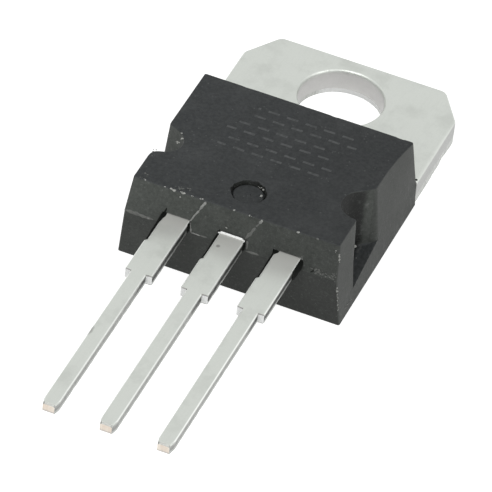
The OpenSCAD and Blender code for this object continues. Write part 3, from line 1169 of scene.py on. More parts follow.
@dataclass
class MouldedCase:
    """The moulded epoxy body, with its drafted walls, side pockets, parting nose and ejector mark."""

    box: Extent
    tab_t: float
    lead_z: float
    lead_t: float
    lead_xs: tuple[float, float, float]
    top_w: float = 9.44
    back_lean: float = 1.26
    nose: float = 0.385
    front_lean: float = 0.32
    edge_r: float = 0.06
    foot_edge: float = 0.03
    proud: float = 0.012
    corner_r: float = 0.09
    pocket_at: float = 6.21
    pocket_floor: float = 1.12
    pocket_fall: float = 10.0
    floor_fillet: float = 0.12
    ear_flare: float = 0.30
    eject_r: float = 0.75
    eject_t: float = 0.18
    eject_at: float = 1.38
    slot_left: float = 0.645
    slot_rights: tuple[float, float, float] = (0.662, 0.668, 0.67)
    slot_l: float = 0.28
    slot_top: float = 0.03

    def __post_init__(self) -> None:
        """Work out the pocket's curve and the stations of the outline."""
        self.case_y = self.box.high.y
        self.parting_y = self.box.low.y
        self.height = self.box.high.z - self.proud
        self.base_half = self.box.size.x / 2
        self.pocket_y = self.case_y - self.pocket_at
        self.pockets = {
            Side.RIGHT: Pocket(self.pocket_y, shoulder_x=4.625, shoulder_r=0.30),
            Side.LEFT: Pocket(self.pocket_y + 0.04, 25.0, 4.03, 0.895, 0.18, r=0.85),
        }
        self.curves = {side: pocket.curve(self.base_half + 0.2) for side, pocket in self.pockets.items()}
        right = list(self._stations(Side.RIGHT))
        left = list(self._stations(Side.LEFT))
        self.stations = right + left[-2:0:-1]

    def half_width(self, z: float) -> float:
        """Half of the width at a height."""
        return self.base_half - (self.base_half - self.top_w / 2) * z / self.height

    def leaning(self, z: float) -> float:
        """Share of the way from the tab's face up to the marked face."""
        return max(0.0, z - self.tab_t) / (self.height - self.tab_t)

    def back_y(self, z: float) -> float:
        """Where the back wall lies at a height."""
        return self.case_y - self.back_lean * self.leaning(z)

    def front_y(self, z: float) -> float:
        """Where the front wall lies at a height."""
        if z <= self.lead_z:
            return self.parting_y + self.nose * (1 - z / self.lead_z)
        return self.parting_y + self.front_lean * (z - self.lead_z) / (self.height - self.lead_z)

    def floor_z(self, y: float) -> float:
        """Height of a pocket's sloping floor."""
        return self.pocket_floor + (y - self.pocket_y) * math.tan(math.radians(self.pocket_fall))

    def _stations(self, side: Side) -> Iterable[Station]:
        """The stations of one side, from the middle of the back to the middle of the front."""
        for stretch in Stretch:
            yield from (Station(side, stretch, step / stretch.count) for step in range(stretch.count))
        yield Station(side, Stretch.FRONT, 1.0)

    def point(self, station: Station, z: float, opened: bool) -> Vector:
        """Where a station lies at a height.

        Args:
            station: The station of the outline.
            z: Height above the metal back.
            opened: Whether the pockets are cut at this height.

        Returns:
            The point on the wall.
        """
        wide, back, front, r = self.half_width(z), self.back_y(z), self.front_y(z), self.corner_r
        share = station.share
        pocket, curve = self.pockets[station.side], self.curves[station.side]
        ear = self.ear_flare * self.leaning(z) * (station.side is Side.RIGHT)
        turn = math.radians(90 * share)
        match station.stretch:
            case Stretch.BACK:
                x, y = share * (wide + ear - r), back
            case Stretch.BACK_CORNER:
                x, y = wide + ear - r + r * math.sin(turn), back - r + r * math.cos(turn)
            case Stretch.BEHIND_POCKET:
                x, y = wide + ear * (1 - share) ** 2, (back - r) * (1 - share) + curve[0].y * share
            case Stretch.POCKET:
                spot = curve[round(share * station.stretch.count)]
                x, y = (self._blended(spot.x, wide, pocket.blend) if opened else wide), spot.y
            case Stretch.BEFORE_POCKET:
                x, y = wide, pocket.shoulder_y * (1 - share) + (front + r) * share
            case Stretch.FRONT_CORNER:
                x, y = wide - r + r * math.cos(turn), front + r - r * math.sin(turn)
            case Stretch.FRONT:
                x, y = (wide - r) * (1 - share), front
        return Vector((x * station.side, y, z))

    @staticmethod
    def _blended(x: float, wide: float, blend: float) -> float:
        """The smaller of a pocket's reach and the flank's, rounded where they meet."""
        share = min(1.0, max(0.0, 0.5 + (wide - x) / (2 * blend)))
        return wide + (x - wide) * share - blend * share * (1 - share)

    def _in_pocket(self, station: Station) -> bool:
        """Whether a station lies on the wall of a pocket, and not on the flank beside it."""
        if station.stretch is not Stretch.POCKET:
            return False
        spot = self.curves[station.side][round(station.share * station.stretch.count)]
        return spot.x < self.half_width(self.height) - 0.02

    def ring(self, z: float, inset: float = 0.0, opened: bool = True, rough: float = 0.006) -> Ring:
        """The outline at a height, drawn in by a distance, with a moulded unevenness."""
        ring = [self.point(station, z, opened) for station in self.stations]
        ring = drawn_in(ring, [inset + rough / 2] * len(ring))
        return [point + wobble(point, 1.4, rough) for point in ring]

    def _floor_rings(self) -> list[Ring]:
        """Rings that turn from the closed wall, across each pocket's floor, and up its walls."""
        wall_z = self.floor_z(self.pocket_y - 1.6)
        rings = []
        for order, bend in enumerate([None, *quarter(6)]):
            ring = []
            insets = []
            for station in self.stations:
                spot = self.point(station, wall_z + 0.012 * order, False)
                inset = 0.0
                if station.stretch is Stretch.POCKET:
                    rise = 0.0 if bend is None else self.floor_fillet * (1 - math.cos(bend))
                    spot = self.point(station, self.floor_z(spot.y) + rise, bend is not None)
                    if bend is not None and self._in_pocket(station):
                        inset = -self.floor_fillet * (1 - math.sin(bend))
                ring.append(spot)
                insets.append(inset)
            rings.append(drawn_in(ring, insets))
        return rings

    def _wall_ring(self, z: float, pocket_z: float) -> Ring:
        """A ring whose pocket points lie at another height than the rest."""
        return [
            self.point(station, pocket_z if station.stretch is Stretch.POCKET else z, True)
            for station in self.stations
        ]

    def _top_rings(self) -> list[Ring]:
        """Rings that round the upper edge, with small nicks."""
        rings = []
        for bend in quarter(5):
            inset = self.edge_r * (1 - math.cos(bend))
            drop = self.edge_r * (1 - math.sin(bend))
            ring = []
            for point in self.ring(self.height - drop, inset, rough=0.004):
                nick = max(0.0, noise.noise(point * 2.3) - 0.42) * 0.2 * math.cos(bend)
                inward = Vector((0, 1, 0))
                if abs(point.x) > 4:
                    inward = Vector((-math.copysign(1, point.x), 0, 0))
                point += inward * nick * 0.5
                ring.append(Vector((point.x, point.y, self.height - drop - nick)))
            rings.append(ring)
        return rings

    def _ejector_mark(self, shell: Shell) -> list[bmesh.types.BMVert]:
        """Add the round recess of the ejector and return its rim."""
        centre = Vector((0, self.front_y(self.height) + self.eject_at, 0))
        r, deep = self.eject_r, self.eject_t
        profile = (
            (r + 0.03, 0.0), (r + 0.005, 0.02), (r - 0.005, 0.09), (r - 0.01, 0.29), (r - 0.05, 0.30),
            (r - 0.085, deep + 0.01), (r - 0.12, deep - 0.01), (0.5, deep), (0.12, deep - 0.004),
            (0.085, deep - 0.03),
        )
        loops = []
        for radius, drop in profile:
            level = centre + Vector((0, 0, self.height - drop))
            ring = []
            for point in circle(level, radius, 96):
                chipped = max(0.0, noise.noise(point * 4.0 + Vector((3, 5, 0)))) * 0.09 * (drop < 0.1)
                ring.append(point + (point - level).normalized() * chipped)
            loops.append(shell.ring(ring))
        for first, second in zip(loops, loops[1:]):
            shell.skin(first, second)
        shell.cap(loops[-1])
        return loops[0]

    def _lead_slots(self) -> list[bpy.types.Object]:
        """Boxes that leave the gaps beside and above each lead at the parting line."""
        slots = []
        for x, reach in zip(self.lead_xs, self.slot_rights):
            shell = Shell()
            left, right = x - self.slot_left, x + reach
            low, high = self.lead_z, self.lead_z + self.lead_t + self.slot_top
            corners = ((left, low), (right, low), (right, high), (left, high))
            stops = (self.parting_y - 1, self.parting_y + 0.1, self.parting_y + self.slot_l)
            # The slot faces take the near-black finish: painted shade in the gaps beside the leads.
            shell.tube([[Vector((across, y, z)) for across, z in corners] for y in stops], 1, (1, 1))
            slots.append(shell.build("slot"))
        return slots

    def build(self, inner: Sequence[bpy.types.Object], finishes: Finishes) -> None:
        """Build the case round the pieces that it holds, and let it stand for its CAD node.

        Args:
            inner: CAD nodes of the pieces inside, whose space is left free.
            finishes: The moulded finish, and the near-black one of painted shade in the gaps beside the
                leads.
        """
        shell = Shell()
        edge = self.foot_edge
        rings = [self.ring(0.0, edge, False, 0.0), self.ring(edge, 0.0, False), self.ring(0.5, 0.0, False)]
        rings += self._floor_rings()
        above = self.floor_z(self.curves[Side.RIGHT][0].y) + self.floor_fillet + 0.02
        rings.append(self._wall_ring(self.tab_t - 0.04, above))
        rings.append(self._wall_ring(self.tab_t, above + 0.03))
        rings += [self.ring(z) for z in (1.6, 2.1, 2.5, self.lead_z - 0.03)]
        rings.append(self.ring(self.lead_z))
        rings += [self.ring(z) for z in (self.lead_z + 0.03, 3.2, 3.7, self.height - self.edge_r - 0.06)]
        rings += self._top_rings()
        loops = [shell.ring(ring) for ring in rings]
        for first, second in zip(loops, loops[1:]):
            shell.skin(first, second)
        shell.cap(loops[0])
        shell.plate(loops[-1], self._ejector_mark(shell))
        case = shell.build("case_moulding")
        combine(case, Joining.CUT, [*self._lead_slots(), *(solid_of(node) for node in inner)])
        complete(case, finishes)
        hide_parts("moulded_case")


@dataclass(frozen=True)
class Stop:
    """A place along a lead: how far it reaches to the left, to the right, and up or down from its middle."""

    y: float
    left: float
    right: float
    half_thick: float

    def towards(self, other: "Stop", share: float) -> "Stop":
        """The stop that lies a share of the way to another."""
        pairs = zip(astuple(self), astuple(other))
        return Stop(*(here + (there - here) * share for here, there in pairs))


@dataclass
class LeadForm:
    """Plan and section of the three leads: a root stepped in on its left, a broad part, and a slim pin."""

    parting_y: float
    end_y: float
    thick: float
    root_w: float = 1.15
    wide_w: float = 1.25
    slim_w: float = 0.70
    tip_w: float = 0.53
    root_l: float = 1.83
    wide_l: float = 3.93
    tip_l: float = 0.42
    tip_slant: float = 0.07
    jog_l: float = 0.07
    upper_r: float = 0.07
    lower_r: float = 0.03
    face_shares: tuple[float, ...] = (0.06, 0.28, 0.5, 0.72, 0.94)
    side_shares: tuple[float, ...] = (0.25, 0.5, 0.75)
    spacing: float = 0.12

    @property
    def root_left(self) -> float:
        """Reach of the root to the left of the lead's middle."""
        return self.root_w - self.wide_w / 2

    def stops(self) -> list[Stop]:
        """The places where the plan changes, from the case to the end."""
        half = self.thick / 2
        root, wide, slim, tip = self.root_left, self.wide_w / 2, self.slim_w / 2, self.tip_w / 2
        jog_y = self.parting_y - self.root_l
        step_y = self.parting_y - self.wide_l
        tip_y = self.end_y + self.tip_l
        stepped = (
            (jog_y + 0.04, root, wide), (jog_y + 0.02, root + 0.012, wide),
            (jog_y - self.jog_l, wide - 0.008, wide), (jog_y - self.jog_l - 0.03, wide, wide),
        )
        even = (
            (step_y + 0.05, wide), (step_y + 0.012, wide - 0.012), (step_y, wide - 0.04),
            (step_y - 0.012, slim + 0.035), (step_y - 0.045, slim), (tip_y, slim),
            (tip_y - 0.12, slim - 0.015), (self.end_y + self.tip_slant, tip + 0.012),
        )
        stops = [Stop(y, left, right, half) for y, left, right in (*stepped, *((y, w, w) for y, w in even))]
        return [*stops, Stop(self.end_y, tip, tip, half - self.tip_slant)]

    def spread(self, stops: Sequence[Stop]) -> list[Stop]:
        """The same stops with others between them, no further apart than the spacing."""
        result = [stops[0]]
        for before, after in zip(stops, stops[1:]):
            count = max(1, math.ceil(abs(after.y - before.y) / self.spacing))
            result.extend(before.towards(after, step / count) for step in range(1, count + 1))
        return result

    def section(self, stop: Stop) -> list[tuple[Vector, Metal]]:
        """Points of a section with rolled upper edges and sharp lower ones.

        Args:
            stop: The place on the lead.

        Returns:
            Each point across and up from the middle, with the kind of face that starts there, once round.
        """
        corners = (
            (stop.right, 1, 1, self.upper_r), (stop.right, 1, -1, self.lower_r),
            (-stop.left, -1, -1, self.lower_r), (-stop.left, -1, 1, self.upper_r),
        )
        arcs = []
        for order, (edge, side, up, radius) in enumerate(corners):
            centre = Vector((edge - side * radius, up * (stop.half_thick - radius)))
            angles = [math.radians(90 - 90 * order - 30 * step) for step in range(4)]
            arcs.append([centre + Vector((math.cos(angle), math.sin(angle))) * radius for angle in angles])
        points = []
        for order, arc in enumerate(arcs):
            kind = Metal.ROLLED if order % 2 else Metal.SHEARED
            shares = self.face_shares if order % 2 else self.side_shares
            points.extend((point, Metal.ROLLED) for point in arc[:-1])
            points.append((arc[-1], kind))
            after = arcs[(order + 1) % 4][0]
            points.extend((arc[-1].lerp(after, share), kind) for share in shares)
        return points

    def rings(self, x: float, mid_z: float, stops: Sequence[Stop]) -> tuple[list[Ring], list[Metal]]:
        """Sections along a straight lead, with torn sides.

        Args:
            x: Middle of the lead.
            mid_z: Middle of its thickness.
            stops: Where the sections stand.

        Returns:
            The rings, and the kind of each face round a ring.
        """
        rings = []
        for stop in stops:
            places = [(Vector((x + spot.x, stop.y, mid_z + spot.y)), spot) for spot, _ in self.section(stop)]
            rings.append([point + self.unevenness(point, spot) for point, spot in places])
        return rings, [kind for _, kind in self.section(stops[0])]

    @staticmethod
    def unevenness(point: Vector, spot: Vector) -> Vector:
        """Shift of a point by the roughness of shearing, which is strongest low on the sides."""
        torn = 0.010 if spot.y < 0 else 0.003
        sideways = noise.noise(point * 3.1) * torn * 1.6 + noise.noise(point * 11.0) * torn
        return Vector((math.copysign(min(0.0, sideways), -spot.x), 0, noise.noise(point * 0.9) * 0.004))


@dataclass
class OuterLead:
    """A lead that ends in a bond post inside the case."""

    box: Extent
    form: LeadForm
    post_l: float = 1.3

    def build(self, name: str, node: str, finishes: Finishes) -> None:
        """Build the lead and let it stand for its CAD node.

        Args:
            name: Name of the piece.
            node: CAD node that it replaces.
            finishes: Rolled, sheared and cut finishes.
        """
        middle = self.box.middle
        half = self.form.thick / 2
        post = self.box.size.x / 2
        back_y = self.box.high.y
        post_y = back_y - self.post_l
        root, wide = self.form.root_left, self.form.wide_w / 2
        head = [
            Stop(back_y, post - 0.01, post - 0.01, half), Stop(back_y - 0.02, post, post, half),
            Stop(post_y + 0.02, post, post, half), Stop(post_y, root, wide, half),
        ]
        stops = self.form.spread([*head, *self.form.stops()])
        rings, kinds = self.form.rings(middle.x, middle.z, stops)
        shell = Shell()
        shell.tube(rings, kinds, (Metal.SHEARED, Metal.CUT_OFF))
        lead = shell.build(name)
        complete(lead, finishes)
        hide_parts(node)


@dataclass
class Stamping:
    """The tab with its hole, the pad under the case, and the centre lead that rises from it."""

    box: Extent
    form: LeadForm
    case_y: float
    tab_t: float = 1.28
    hole_r: float = 1.915
    corner_x: float = 1.1
    corner_y: float = 1.73
    corner_r: float = 0.4
    pad_w: float = 8.8
    pad_l: float = 7.5
    ledge_h: float = 0.45
    ledge_w: float = 0.3
    notch_x: float = 3.35
    notch_at: float = 4.91
    groove_w: float = 0.5
    groove_t: float = 0.2
    groove_at: float = 1.0
    bend_r: float = 0.25
    bend_angle: float = 70.0
    run_l: float = 0.15
    overlap: float = 0.3
    rolled_in: float = 0.15
    rolled_down: float = 0.24
    burnished_z: float = 0.5
    rim_down: float = 0.2
    rim_out: float = 0.11
    lip_h: float = 0.085
    lip_y: float = -13.10
    spacing: float = 0.11

    def outline(self, z: float, tab_inset: float, pad_inset: float) -> Ring:
        """Plan of the tab and the pad at a height.

        Args:
            z: Height above the metal back.
            tab_inset: How far the free edges of the tab are drawn in.
            pad_inset: How far the edges of the pad are drawn in.

        Returns:
            The points, clockwise seen from above.
        """
        corners = self._corners(tab_inset, pad_inset)
        nominal = self._corners(0.0, 0.0)
        count = len(nominal)
        lengths = [(nominal[(i + 1) % count] - nominal[i]).length for i in range(count)]
        steps = [max(1, round(length / self.spacing)) for length in lengths]
        half = count // 2
        radii = [self.corner_r, self.corner_r, *[0.03] * (half - 2)]
        return [Vector((*point, z)) for point in rounded_outline(corners, radii + radii[::-1], steps)]

    def _corners(self, tab_inset: float, pad_inset: float) -> Ring:
        """Sharp corners of the plan, clockwise from the right end of the free edge."""
        side, end = self.box.size.x / 2, self.box.high.y
        slope = Vector((self.corner_y, self.corner_x)).normalized()
        pad = self.pad_w / 2 - pad_inset
        notch_x = self.notch_x - pad_inset
        notch_y = self.case_y - self.notch_at + pad_inset
        front = self.case_y - self.pad_l + pad_inset
        right = (
            (side - self.corner_x - tab_inset * (1 - slope.y) / slope.x, end - tab_inset),
            (side - tab_inset, end - self.corner_y - tab_inset * (1 - slope.x) / slope.y),
            (side - tab_inset, self.case_y), (pad, self.case_y),
            (pad, notch_y), (notch_x, notch_y), (notch_x, front),
        )
        return [Vector(point) for point in right] + [Vector((-x, y)) for x, y in reversed(right)]

    def _levels(self) -> list[tuple[float, float, float]]:
        """Height, tab inset and pad inset of each ring, from the back up to the rolled edge."""
        levels = [(0.0, 0.025, self.ledge_w)]
        levels += [(z, 0.0, self.ledge_w) for z in (0.03, 0.14, 0.27, self.ledge_h)]
        levels += [(self.ledge_h, 0.0, 0.0), (0.75, 0.0, 0.0)]
        for bend in quarter(6):
            z = self.tab_t - self.rolled_down * (1 - math.sin(bend))
            levels.append((z, self.rolled_in * (1 - math.cos(bend)), 0.0))
        return levels

    def _torn(self, point: Vector) -> Vector:
        """A free edge of the tab, where it tore away below the burnished band."""
        if point.y < self.case_y + 0.02 or point.z > self.burnished_z:
            return point
        depth = 1 - point.z / self.burnished_z
        tear = max(0.0, noise.noise(Vector((point.x * 1.3, point.y * 1.3, 4.0))) + 0.1) * 0.07 * depth
        tear += noise.noise(Vector((point.x * 6, point.y * 6, point.z * 3))) * 0.012
        inward = Vector((-point.x, -point.y, 0)).normalized()
        return point + inward * max(0.0, tear)

    def _hole_rings(self) -> list[Ring]:
        """Rings of the hole's wall, from the back up to the rolled rim."""
        levels = [(0.0, 0.03), (0.05, 0.014), (0.25, 0.004), (0.5, 0.0), (0.8, 0.0)]
        for bend in quarter(5):
            z = self.tab_t - self.rim_down * (1 - math.sin(bend))
            levels.append((z, self.rim_out * (1 - math.cos(bend))))
        rings = []
        for z, wider in levels:
            ring = []
            for point in circle(Vector((0, 0, z)), self.hole_r + wider, 144):
                tear = noise.noise(point * 1.8) * 0.03 * max(0.0, 1 - z / 0.4)
                ring.append(point + Vector((point.x, point.y, 0)).normalized() * max(0.0, tear))
            rings.append(ring)
        return rings

    def _plate(self) -> bpy.types.Object:
        """The tab and the pad, with the hole."""
        shell = Shell()
        outer = [shell.ring(self._torn(point) for point in self.outline(*level)) for level in self._levels()]
        inner = [shell.ring(ring) for ring in self._hole_rings()]
        for order, (first, second) in enumerate(zip(outer, outer[1:])):
            shell.skin(first, second, Metal.SHEARED if order < 4 else Metal.ROLLED)
        for order, (first, second) in enumerate(zip(inner, inner[1:])):
            shell.skin(first, second, Metal.SHEARED if order < 2 else Metal.ROLLED)
        shell.plate(outer[0], inner[0], Metal.ROLLED)
        shell.plate(outer[-1], inner[-1], Metal.ROLLED)
        return shell.build("tab_stamping")

    def _groove(self, y: float) -> bpy.types.Object:
        """A tool for one vee groove across the pad."""
        half = self.groove_w / 2
        section = ((-half, 0.0), (0.0, -self.groove_t), (half, 0.0), (0.0, self.groove_t))
        shell = Shell()
        reach = self.box.size.x
        shell.tube([[Vector((x, y + a, self.tab_t + b)) for a, b in section] for x in (-reach, reach)])
        return shell.build("groove")

    def _riser_path(self) -> list[tuple[float, float, float]]:
        """Y, Z and slope in radians along the middle of the strip, from the pad to the straight lead."""
        middle_r = self.bend_r + self.form.thick / 2
        low_z = self.tab_t - self.form.thick / 2
        turn = math.radians(self.bend_angle)
        climb = self.box.high.z - self.form.thick / 2 - low_z
        rise = (climb - 2 * middle_r * (1 - math.cos(turn))) / math.sin(turn)
        y, z = self.case_y - self.pad_l + self.overlap, low_z
        path = [(y, z, 0.0), (y - self.overlap, z, 0.0)]
        y -= self.overlap + self.run_l
        steps = 8
        for step in range(steps + 1):
            bend = turn * step / steps
            path.append((y - middle_r * math.sin(bend), z + middle_r * (1 - math.cos(bend)), bend))
        y -= middle_r * math.sin(turn) + rise * math.cos(turn)
        z += middle_r * (1 - math.cos(turn)) + rise * math.sin(turn)
        path.append((y, z, turn))
        for step in range(1, steps + 1):
            bend = turn * (1 - step / steps)
            across = middle_r * (math.sin(turn) - math.sin(bend))
            up = middle_r * (math.cos(bend) - math.cos(turn))
            path.append((y - across, z + up, bend))
        return path

    def _lead(self) -> bpy.types.Object:
        """The riser and the centre lead."""
        form, half = self.form, self.form.thick / 2
        path = self._riser_path()
        rings = []
        for y, z, slope in path:
            up = Vector((0, math.sin(slope), math.cos(slope)))
            section = form.section(Stop(y, form.root_left, form.wide_w / 2, half))
            rings.append([Vector((spot.x, y, z)) + up * spot.y for spot, _ in section])
        start = Stop(path[-1][0] - 0.1, form.root_left, form.wide_w / 2, half)
        straight, kinds = form.rings(0.0, self.box.high.z - half, form.spread([start, *form.stops()]))
        shell = Shell()
        shell.tube([*rings, *straight], kinds, (Metal.SHEARED, Metal.CUT_OFF))
        return shell.build("centre_lead")

    def _lip(self) -> bpy.types.Object:
        """The thin lip that stands up across the centre lead where it leaves the case, bright from the
        painted highlight on its front faces.
        """
        top = self.box.high.z
        left, right = -self.form.root_left - 0.06, self.form.wide_w / 2 + 0.01
        shell = Shell()
        rings = []
        last = 24
        for step in range(last + 1):
            x = left + (right - left) * step / last
            taper = min(1.0, 0.45 + 0.2 * min(step, last - step))
            high = self.lip_h * (0.95 + 0.2 * noise.noise(Vector((x * 4, 2, 0)))) * taper
            near = self.lip_y + noise.noise(Vector((x * 2.5, 0, 5))) * 0.01
            section = (
                (0.09, -0.06), (0.09, 0.3 * high), (0.05, high),
                (0.02, high), (-0.01, 0.6 * high), (-0.03, -0.06),
            )
            rings.append([Vector((x, near + y, top + z)) for y, z in section])
        shell.tube(rings, Metal.SHEARED, (Metal.SHEARED, Metal.SHEARED))
        return shell.build("lip")

    def build(self, finishes: Finishes) -> None:
        """Build the stamping and let it stand for its CAD node.

        Args:
            finishes: Rolled, sheared and cut finishes.
        """
        plate = self._plate()
        first = self.case_y - self.groove_at
        combine(plate, Joining.CUT, [self._groove(first), self._groove(first - 2 * self.groove_w)])
        combine(plate, Joining.FUSE, [self._lead(), self._lip()])
        complete(plate, finishes)
        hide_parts("tab_and_ground_lead")


@dataclass(frozen=True)
class Seam:
    """A line across the front of the case, given by X and Z, with the width and height of its ridge."""

    points: tuple[tuple[float, float], ...]
    wide: float
    high: float


@dataclass(frozen=True)
class Skin:
    """A skin of flash on one side of a lead root, black with the painted shade of the gap there, which may
    lap over the upper face for a while.
    """

    side: Side
    length: float
    wide: float
    lap: float = 0.0
    lap_l: float = 0.2


@dataclass
class MouldFlash:
    """Ridges that the mould left on the front of the case, and the flash skins beside the lead roots in
    painted shade.
    """

    case: MouldedCase
    form: LeadForm
    pale: tuple[Seam, ...] = (
        Seam(((-1.95, 3.16), (-1.78, 3.50), (-1.57, 3.90)), 0.085, 0.025),
        Seam(((-1.60, 3.84), (-1.48, 4.10), (-1.37, 4.34)), 0.130, 0.030),
        Seam(((-1.93, 3.20), (-1.85, 2.92), (-1.78, 2.70)), 0.075, 0.022),
        Seam(((-1.79, 2.70), (-1.60, 2.69), (-1.36, 2.69)), 0.055, 0.020),
        Seam(((1.10, 4.18), (1.15, 4.28), (1.21, 4.37)), 0.140, 0.030),
        Seam(((-3.82, 2.69), (-3.76, 2.70), (-3.68, 2.70)), 0.070, 0.030),
    )
    grey: tuple[Seam, ...] = (
        Seam(((-4.86, 2.71), (-4.30, 2.70), (-3.52, 2.69)), 0.150, 0.020),
        Seam(((-1.38, 2.69), (-1.22, 2.70), (-1.05, 2.70)), 0.060, 0.015),
        Seam(((0.62, 3.24), (0.78, 3.56), (0.96, 3.92)), 0.150, 0.018),
        Seam(((0.98, 3.96), (1.05, 4.08), (1.12, 4.22)), 0.070, 0.015),
        Seam(((0.71, 3.18), (0.74, 3.00), (0.75, 2.78)), 0.115, 0.022),
        Seam(((0.72, 2.70), (0.95, 2.70), (1.32, 2.70)), 0.095, 0.020),
        Seam(((3.18, 3.36), (3.22, 3.18), (3.28, 2.96)), 0.080, 0.012),
    )
    black: tuple[Seam, ...] = (
        Seam(((-3.03, 3.45), (-3.05, 3.34), (-3.09, 3.20)), 0.070, 0.006),
        Seam(((-0.55, 3.30), (-0.56, 3.26), (-0.58, 3.20)), 0.060, 0.006),
        Seam(((3.67, 2.72), (3.74, 2.79), (3.82, 2.88)), 0.095, 0.006),
    )

    def ridges(self, name: str, seams: Sequence[Seam], finish: bpy.types.Material) -> None:
        """Build a group of ridges along seams of the mould.

        Args:
            name: Name of the piece.
            seams: Where the ridges run.
            finish: The finish of this group.
        """
        shell = Shell()
        for seam in seams:
            route = self._route([Vector((x, self.case.front_y(z), z)) for x, z in seam.points])
            shell.tube([self._ridge_section(route, index, seam) for index in range(len(route))])
        complete(shell.build(name), [finish], crease=60.0)

    @staticmethod
    def _route(points: Ring, spacing: float = 0.04) -> Ring:
        """A polyline resampled at an even spacing."""
        route = [points[0]]
        for start, end in zip(points, points[1:]):
            count = max(1, round((end - start).length / spacing))
            route.extend(start.lerp(end, step / count) for step in range(1, count + 1))
        return route

    @staticmethod
    def _ridge_section(route: Ring, index: int, seam: Seam) -> Ring:
        """A low uneven section of a ridge, thin at both ends of its route."""
        here = route[index]
        along = (route[min(index + 1, len(route) - 1)] - route[max(index - 1, 0)]).normalized()
        outward = Vector((0, -1, 0.15)).normalized()
        across = along.cross(outward).normalized()
        share = index / (len(route) - 1)
        taper = min(1.0, 0.3 + 5 * min(share, 1 - share))
        wide = seam.wide / 2 * taper * (1 + 0.7 * noise.noise(here * 5))
        high = seam.high * taper * (1 + 0.6 * noise.noise(here * 7 + Vector((9, 0, 0))))
        middle = here + across * noise.noise(here * 4 + Vector((0, 7, 0))) * 0.025
        return [
            middle + across * wide - outward * 0.01, middle + across * wide * 0.5 + outward * high * 0.8,
            middle + outward * high, middle - across * wide * 0.5 + outward * high * 0.8,
            middle - across * wide - outward * 0.01, middle - outward * 0.05,
        ]

    def skins(self, finish: bpy.types.Material) -> None:
        """Build the thin skins of epoxy that cling to the sides of the lead roots, near black with painted
        shade.
        """
        full = self.form.root_l - 0.03
        plan = (
            (Skin(Side.LEFT, full, 0.16, 0.10, 0.6), Skin(Side.RIGHT, 0.18, 0.04)),
            (Skin(Side.LEFT, full, 0.12), Skin(Side.RIGHT, 0.16, 0.04)),
            (Skin(Side.LEFT, full, 0.11, 0.16, 0.2), Skin(Side.RIGHT, 0.84, 0.13)),
        )
        shell = Shell()
        for x, pair in zip(self.case.lead_xs, plan):
            for skin in pair:
                shell.tube(self._skin(x, skin))
        complete(shell.build("root_skins"), [finish], crease=50.0)

    def _skin(self, x: float, skin: Skin) -> list[Ring]:
        """Sections of one skin, from inside the lead slot outwards."""
        side = skin.side
        edge = x + side * (self.form.root_left if side is Side.LEFT else self.form.wide_w / 2)
        low, top = self.case.lead_z + 0.02, self.case.lead_z + self.form.thick
        start = self.case.parting_y + self.case.slot_l - 0.01
        steps = max(8, round(skin.length / 0.06))
        rings = []
        for step in range(steps + 1):
            y = start - (skin.length + self.case.slot_l) * step / steps
            out = max(0.0, self.case.parting_y - y)
            spot = Vector((x, y, side * 3.0))
            wide = skin.wide * (1 - 0.35 * out / skin.length)
            wide += noise.noise(spot * 2.6) * 0.025 + noise.noise(spot * 9) * 0.012
            if step == steps:
                wide *= 0.4
            lap = max(0.0, skin.lap * (1 - out / skin.lap_l)) * (1 + 0.3 * noise.noise(spot * 6))
            over = 0.012 if lap > 0 else -0.03 + 0.02 * noise.noise(spot * 5)
            outer = edge + side * wide
            ring = [
                (edge - side * 0.02, low), (outer - side * 0.02, low),
                (outer, low + 0.06), (outer, top - 0.12),
                (outer - side * 0.04, top - 0.03), (edge + side * 0.01, top + over),
                (edge - side * (0.012 + lap), top + over), (edge - side * (0.015 + lap), top - 0.03),
            ]
            rings.append([Vector((a, y, b)) for a, b in ring])
        return rings


@dataclass(frozen=True)
class Cluster:
    """A group of crumbs: its middle, its spread on each axis, its count, and the mean half-length."""

    middle: tuple[float, float, float]
    spread: tuple[float, float, float]
    count: int
    size: float


